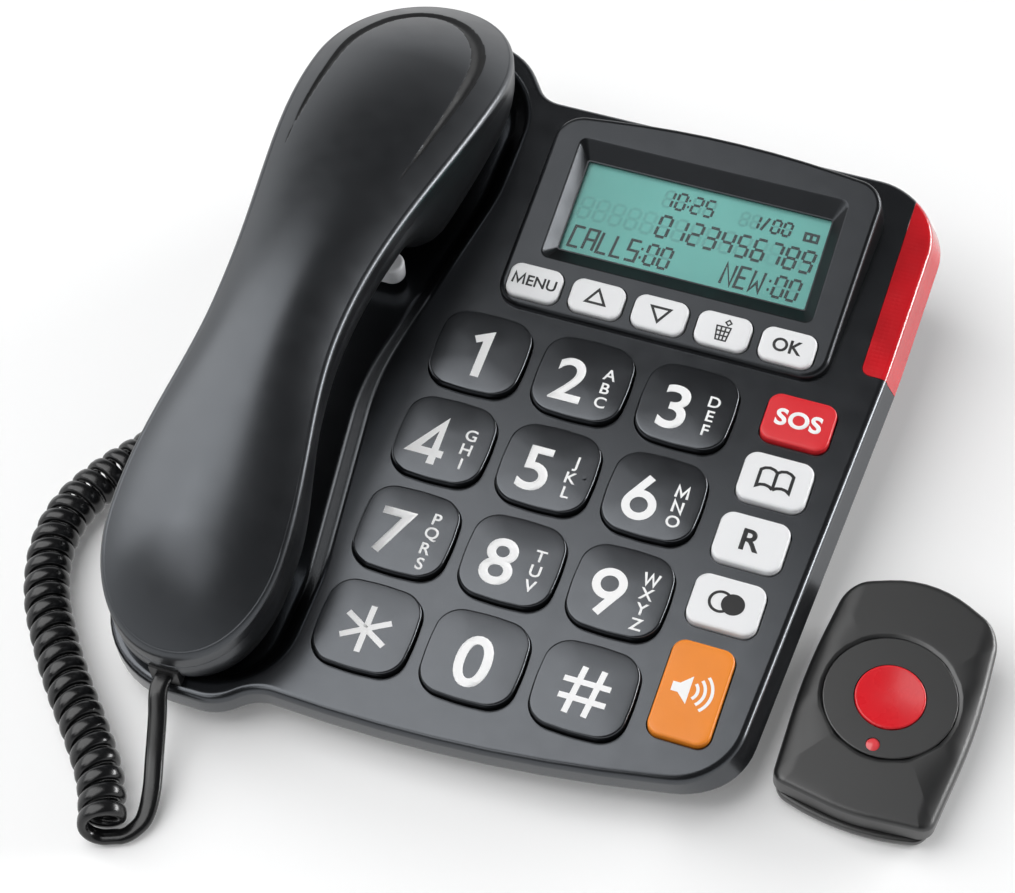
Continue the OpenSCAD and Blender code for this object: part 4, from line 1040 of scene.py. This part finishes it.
# %% Outline and arch of the handset
MOUTH_RUN, EAR_RUN = 28.7, 39.5
MOUTH_W, GRIP_W, EAR_W = 46.7, 34.8, 53.7
MOUTH_AT, GRIP_AT, EAR_AT = TIP_V + MOUTH_RUN, TIP_V + 0.394 * (END_V - TIP_V), END_V - EAR_RUN
ARCH_V, ARCH_TOP = 29.6, 35.4
MID_V, HALF_LEN = (TIP_V + END_V) / 2, (END_V - TIP_V) / 2


def swing(a, b, t):
    return a + (b - a) * (1 - math.cos(math.pi * min(1, max(0, t)))) / 2


def round_off(e, n):
    return max(0, 1 - min(1, max(0, e)) ** n) ** (1 / n)


def half_w(v):
    if v < GRIP_AT:
        wide = swing(MOUTH_W, GRIP_W, (v - MOUTH_AT) / (GRIP_AT - MOUTH_AT))
        return wide / 2 * round_off((MOUTH_AT - v) / MOUTH_RUN, 2.1)
    return swing(GRIP_W, EAR_W, (v - GRIP_AT) / (EAR_AT - GRIP_AT)) / 2 * round_off((v - EAR_AT) / EAR_RUN, 2)


def seam(v):
    return ARCH_TOP - (v - ARCH_V) ** 2 / (2 * (185 if v < ARCH_V else 225))


AROUND = 190
side_v = [MID_V - HALF_LEN * math.cos(math.pi * k / AROUND) for k in range(AROUND + 1)]
outline = [(half_w(v), v) for v in side_v] + [(-half_w(v), v) for v in side_v[-2:0:-1]]
print("handset outline:", len(outline), "points, widest", round(2 * max(half_w(v) for v in side_v), 1), "mm")

# %% [markdown]
# The groove is widest at the top of the ear end and fades out along both sides. Every point of the dome looks
# for the nearest place on the line of the groove and sinks there, most in the middle of the groove. Its faces
# get a matt finish of their own, because the photograph shows it dark all the way round.

# %% Back of the handset
GROOVE = [(-18.14, 68), (-19.13, 82.3), (-19.51, 96.9), (-19.08, 113.3), (-15.63, 124.5), (-11.23, 131.6),
          (-5.2, 135.9), (2.15, 136.0), (8.83, 132), (14.48, 124.5), (17.69, 114.7), (18.48, 102.3), (18.04, 90.4),
          (17.12, 78.1), (15.54, 64.5)]
GROOVE_DEEP, GROOVE_HALF = 1.1, 2.0
groove_pts, _ = even([Vector((u, v, 0)) for u, v in GROOVE], 0.8)


def groove_drop(u, v):
    if v < 60:
        return 0.0
    near = min(range(len(groove_pts)), key=lambda k: (groove_pts[k].x - u) ** 2 + (groove_pts[k].y - v) ** 2)
    away = math.hypot(groove_pts[near].x - u, groove_pts[near].y - v)
    t = near / (len(groove_pts) - 1)
    open_up = min(1, t / 0.42) if t < 0.5 else min(1, (1 - t) / 0.38)
    half = 0.2 + GROOVE_HALF * open_up
    return GROOVE_DEEP * open_up ** 0.7 * (1 - ease(away / half)) if away < half else 0.0


def loop(f, rise, inset_by=0.0, carve=False):
    """The outline moved in by a share f of the way to the middle line, at a height above the parting line."""
    ring = []
    for u, v in outline:
        mid = Vector((0, min(110, max(-42, v))))
        way = mid - Vector((u, v))
        g = min(1, f + inset_by / max(way.length, 1e-6))
        p = Vector((u, v)) + g * way
        drop = groove_drop(p.x, p.y) if carve else 0.0
        ring.append(Vector((AXIS_U + p.x, p.y, seam(p.y) + rise - drop)))
    return ring


SHOULDER, SHOULDER_R, DOME, DOME_RINGS = 5.4, 1.8, 6.6, 110
rings = [loop(1, 0.1), loop(0.5, 0.1), loop(0, 0.1, 0.35), loop(0, 0.2, 0.08), loop(0, 0.5)]
rings += [loop(0, w, d) for d, w in quarter(SHOULDER_R, SHOULDER, (0, 15, 30, 45, 60, 72))]
for k in range(DOME_RINGS):
    f = k / (DOME_RINGS - 1)
    lift = SHOULDER - 0.09 + (DOME + 0.09) * f * (2 - f)
    rings.append(loop(f, lift, 1.25 * (1 - f), carve=True))
back = closed_up(extruded("handset_back_shell", rings, DECK))
smooth_faces(back, 60)
wear(back, "handset", "housing", HANDSET, "handset_back")
back.data.materials.append(GROOVE_BLACK)
flat = DECK.inverted()
for face in back.data.polygons:
    spot = flat @ face.center
    if spot.z > seam(spot.y) + SHOULDER - 1.2 and groove_drop(spot.x - AXIS_U, spot.y) > 0.015:
        face.material_index = 1
print("faces in the groove:", sum(face.material_index for face in back.data.polygons))

# %% [markdown]
# The lower shell is easier to grow along its length. Each station is a closed loop, a rounded underside and
# a flat lid that meets the back, so the ear and mouth cups, the hollow grip and the cut-away end come from
# one formula for the depth.

# %% Lower shell
def cup(v):
    return max(ease((v - 52) / 26), ease((-6 - v) / 24))


def under(v):
    deep = (1 - cup(v)) * 13 + cup(v) * (seam(v) + 4.7)
    return deep * (round_off((TIP_V + 15 - v) / 15, 2.4) if v < ARCH_V else round_off((v - END_V + 26) / 26, 1.5))


STATIONS, SEAM_GAP, BELLY = 110, 0.12, 0.7


def station(v):
    hw, deep, top, ring = half_w(v) - 0.02, under(v), seam(v) - SEAM_GAP, []
    for j in range(41):
        a = math.pi * j / 40
        drop = deep * max(0, math.sin(a)) ** BELLY
        ring.append(Vector((AXIS_U + hw * bent(math.cos(a), BELLY), v, top - drop)))
    ring[0].x -= 0.3 * min(1, hw / 4)
    ring[-1].x += 0.3 * min(1, hw / 4)
    return ring + [Vector((AXIS_U - hw * (0.9 - 0.3 * j), v, top)) for j in range(7)]


rings = [station(MID_V - (HALF_LEN - 0.05) * math.cos(math.pi * k / STATIONS)) for k in range(1, STATIONS)]
front = extruded("handset_front_shell", rings, DECK)
plug_way = slab("plug_way", plate_line(8.4, 6.6, 0.5, AXIS_U, 3.3), -20, 5,
                DECK @ shift(0, TIP_V) @ turn_by(90, "X"))
sound = [slab("sound", disc_line(1.0, *spot), -12, -1, DECK) for r, n in ((0, 1), (5, 6), (10, 12))
         for spot in circle_line(AXIS_U, EAR_AT - 5, r, n=n)[:-1]]
sound += [slab("sound", disc_line(0.7, AXIS_U + 3 * t, MOUTH_AT + 1), -12, -1, DECK) for t in (-1, 0, 1)]
cut(front, [plug_way, joined(sound)])
smooth_faces(front, 50)
wear(front, "handset", "housing", HANDSET, "handset_front")

# %% [markdown]
# ## The hook
# The tongue at the side of the well is what the handset holds down. It is a light grey bar with a round end,
# and its edges are rounded where the handset slides over it.

# %% Hook tongue
HOOK_LINE = [(-74, 60.2, 0.5), (-57.7, 60.2, 3.4), (-57.7, 67.2, 3.4), (-74, 67.2, 0.5)]
tongue = extruded("hook_tongue", stepped(HOOK_LINE, [(0, -2.3)] + quarter(0.9, 3.2)), DECK)
stem = slab("stem", plate_line(6, 5.2, 0.5, AXIS_U, HOOK_V), -13, -1, DECK)
cut(tongue, [stem], "UNION")
smooth_faces(tongue, 40)
wear(tongue, "hook", "pale_plastic", HOOK_GREY, "hook_lever")

# %% [markdown]
# ## The pendant
# The pendant is a small radio transmitter that lies beside the telephone. Its top is a shell whose long edges
# fall away in a wide curve while the ends stay crisp, so a plain rounded edge isn't enough: the plate is
# extruded, drawn in to the round opening for the face in many rings, and then every point is lowered by how
# near it lies to a long edge. The opening has a chamfer, which is the fine bright ring in the photograph.

# %% Pendant shell
FOB_LINE = [(-20.15, 3, 4), (0, 0.4, 46), (20.15, 3, 4), (22.4, 34.6, 150), (20, 61.2, 10), (0, 70, 26),
            (-20, 61.2, 10), (-22.4, 34.6, 150)]
RING_V, FOB_T = 33.6, 6.4
LAMP_V = RING_V - 13.6
DISC_R, BUTTON_R, BUTTON_TOP, BEAD_R = 16.6, 8.75, 0.5, 1.7


def fob_drop(ring):
    """Lowers the points near the long edges, and those near the foot less."""
    out = []
    for p in ring:
        near = max(0, abs(p.x) - 15.5) / 6.9
        out.append(Vector((p.x, p.y, p.z - 3.0 * near ** 2 * (p.z + FOB_T) / FOB_T)))
    return out


rings = stepped(FOB_LINE, [(0.5, -FOB_T), (0, -FOB_T + 0.5), (0, -3)] + quarter(1.2))
edge = rings[-1]
middle = Vector((0, RING_V, 0))


def round_ring(r, w):
    """A circle round the middle with a point towards every point of the edge."""
    return [middle + (p - middle).normalized() * r + Vector((0, 0, w)) for p in edge]


rings += [[p.lerp(q, k / 24) for p, q in zip(edge, round_ring(17.9, 0))] for k in range(1, 25)]
rings += [round_ring(r, w) for r, w in ((17.7, -0.03), (17.3, -0.2), (16.85, -0.42), (16.75, -0.55), (16.75, -2.2))]
fob_top = extruded("pendant_shell", [fob_drop(r) for r in rings], FOB)
inside = slab("inside", inset(FOB_LINE, 1.8), -FOB_T - 1, -4.2, FOB)
cut(fob_top, [inside, slab("through", disc_line(11.5, 0, RING_V), -9, 0, FOB),
              slab("lamp_hole", disc_line(2.0, 0, LAMP_V), -9, 0, FOB)])
smooth_faces(fob_top, 40)
wear(fob_top, "pendant", "housing", FOB_BLACK, "pendant_top")

# %% Pendant foot, face, button and lamp
FOOT_LINE = [(-19.2, 2.6, 4.5), (0, -2.6, 60), (19.2, 2.6, 4.5), (21.2, 34.6, 150), (18.8, 60.4, 9.5), (0, 68.8, 25),
             (-18.8, 60.4, 9.5), (-21.2, 34.6, 150)]
rings = stepped(FOOT_LINE, ((2.4, -30), (1.0, -11), (0.25, -9), (0, -8), (0.15, -7), (0.9, -FOB_T)))
foot = trimmed(extruded("pendant_foot", rings, FOB), DESK.translation, (0, 0, 1))
pocket = slab("pocket", inset(FOB_LINE, 3.6), -30, -FOB_T + 1, FOB)
cut(foot, [trimmed(pocket, DESK @ Vector((0, 0, 1.8)), (0, 0, 1))])
wear(smooth_faces(foot, 40), "pendant", "housing", FOB_BLACK, "pendant_bottom")


def turned(name, v, steps):
    """A round piece on the pendant's middle line, through steps of radius and height."""
    return extruded(name, [level(disc_line(r, 0, v), w) for r, w in steps], FOB)


face = turned("pendant_disc", RING_V, [(DISC_R, -1.4)] + [(DISC_R - d, w) for d, w in quarter(0.35)])
cut(face, [slab("hole", disc_line(9.0, 0, RING_V), -3, 2, FOB), slab("hole", disc_line(1.8, 0, LAMP_V), -3, 2, FOB)])
wear(smooth_faces(face, 40), "pendant", "housing", FOB_BLACK, "pendant_face")

steps = [(BUTTON_R, -2.6)] + [(BUTTON_R - d, w) for d, w in quarter(0.45, BUTTON_TOP)]
steps += [(8.3 * f, BUTTON_TOP - 0.75 * (1 - f * f)) for f in (0.95, 0.88, 0.76, 0.6, 0.44, 0.28, 0.12)]
button = turned("pendant_push", RING_V, steps)
wear(smooth_faces(button, 40), "pendant_button", "red_key", FOB_RED, "pendant_button")

steps = [(BEAD_R, -5.2), (BEAD_R, -0.25)] + [(BEAD_R * f, 0.1 - 0.35 * f * f) for f in (0.9, 0.7, 0.4, 0.15)]
bead = turned("pendant_bead", LAMP_V, steps)
BEAD = moulded("pink_lamp", (0.72, 0.06, 0.07), 0.3, share=0.05, coat=0.4)
wear(smooth_faces(bead, 40), "pendant", "red_lens", BEAD, "pendant_lamp")

# %% [markdown]
# ## What stays from the CAD model
# The boards, mats, sockets, cells, screws and capsules are mostly hidden, and their solids are right as they
# are. Each gets a finish of its own: solder-mask green with its copper traces, silicone, steel, and the
# wrapped sleeve of a cell.

# %% Finishes of the CAD nodes
BOARD, tree, shader = nodes_of("green_board")
coord = tree.nodes.new("ShaderNodeTexCoord")
tracks = tree.nodes.new("ShaderNodeTexBrick")
set_inputs(tracks, Scale=160, Color1=(0.012, 0.09, 0.035, 1), Color2=(0.016, 0.11, 0.045, 1),
           Mortar=(0.03, 0.19, 0.08, 1))
tree.links.new(coord.outputs["Object"], tracks.inputs["Vector"])
tree.links.new(tracks.outputs["Color"], shader.inputs["Base Color"])
drift(tree, noise_of(tree, 300), 0.28, 0.4, shader.inputs["Roughness"])
SILICONE = moulded("grey_silicone", (0.26, 0.27, 0.28), 0.6)
FOOT = moulded("black_rubber", (0.012, 0.012, 0.012), 0.75, grain=1500, depth=0.00002)
SOCKET = moulded("cream_socket", (0.6, 0.58, 0.5), 0.4)
INNER = moulded("black_inner", (0.013, 0.013, 0.014), 0.4)
STEEL, tree, shader = nodes_of("bright_steel")
set_inputs(shader, Metallic=1.0)
worn(tree, shader, (0.55, 0.56, 0.58), 0.1, (0.25, 0.4), 120, 900)
CELL = moulded("cell_sleeve", (0.22, 0.27, 0.1), 0.35, share=0.2)
PLUG = moulded("black_plug", (0.005, 0.005, 0.0055), 0.45)
for finish, names in ((BOARD, ("display_board", "alert_board", "main_board", "pendant_board")),
                      (SILICONE, ("menu_mat", "key_mat")), (FOOT, ("rubber_feet",)),
                      (SOCKET, ("line_jack", "handset_jack")), (LOWER, ("battery_door",)),
                      (INNER, ("loudspeaker", "hook_switch", "receiver_capsule", "handset_socket")),
                      (STEEL, ("case_screws", "mic_capsule", "handset_weight", "pendant_battery")),
                      (CELL, ("battery_cells",)), (PLUG, ("base_plug", "handset_plug"))):
    for node in names:
        dress(node, finish)
print("CAD nodes dressed")
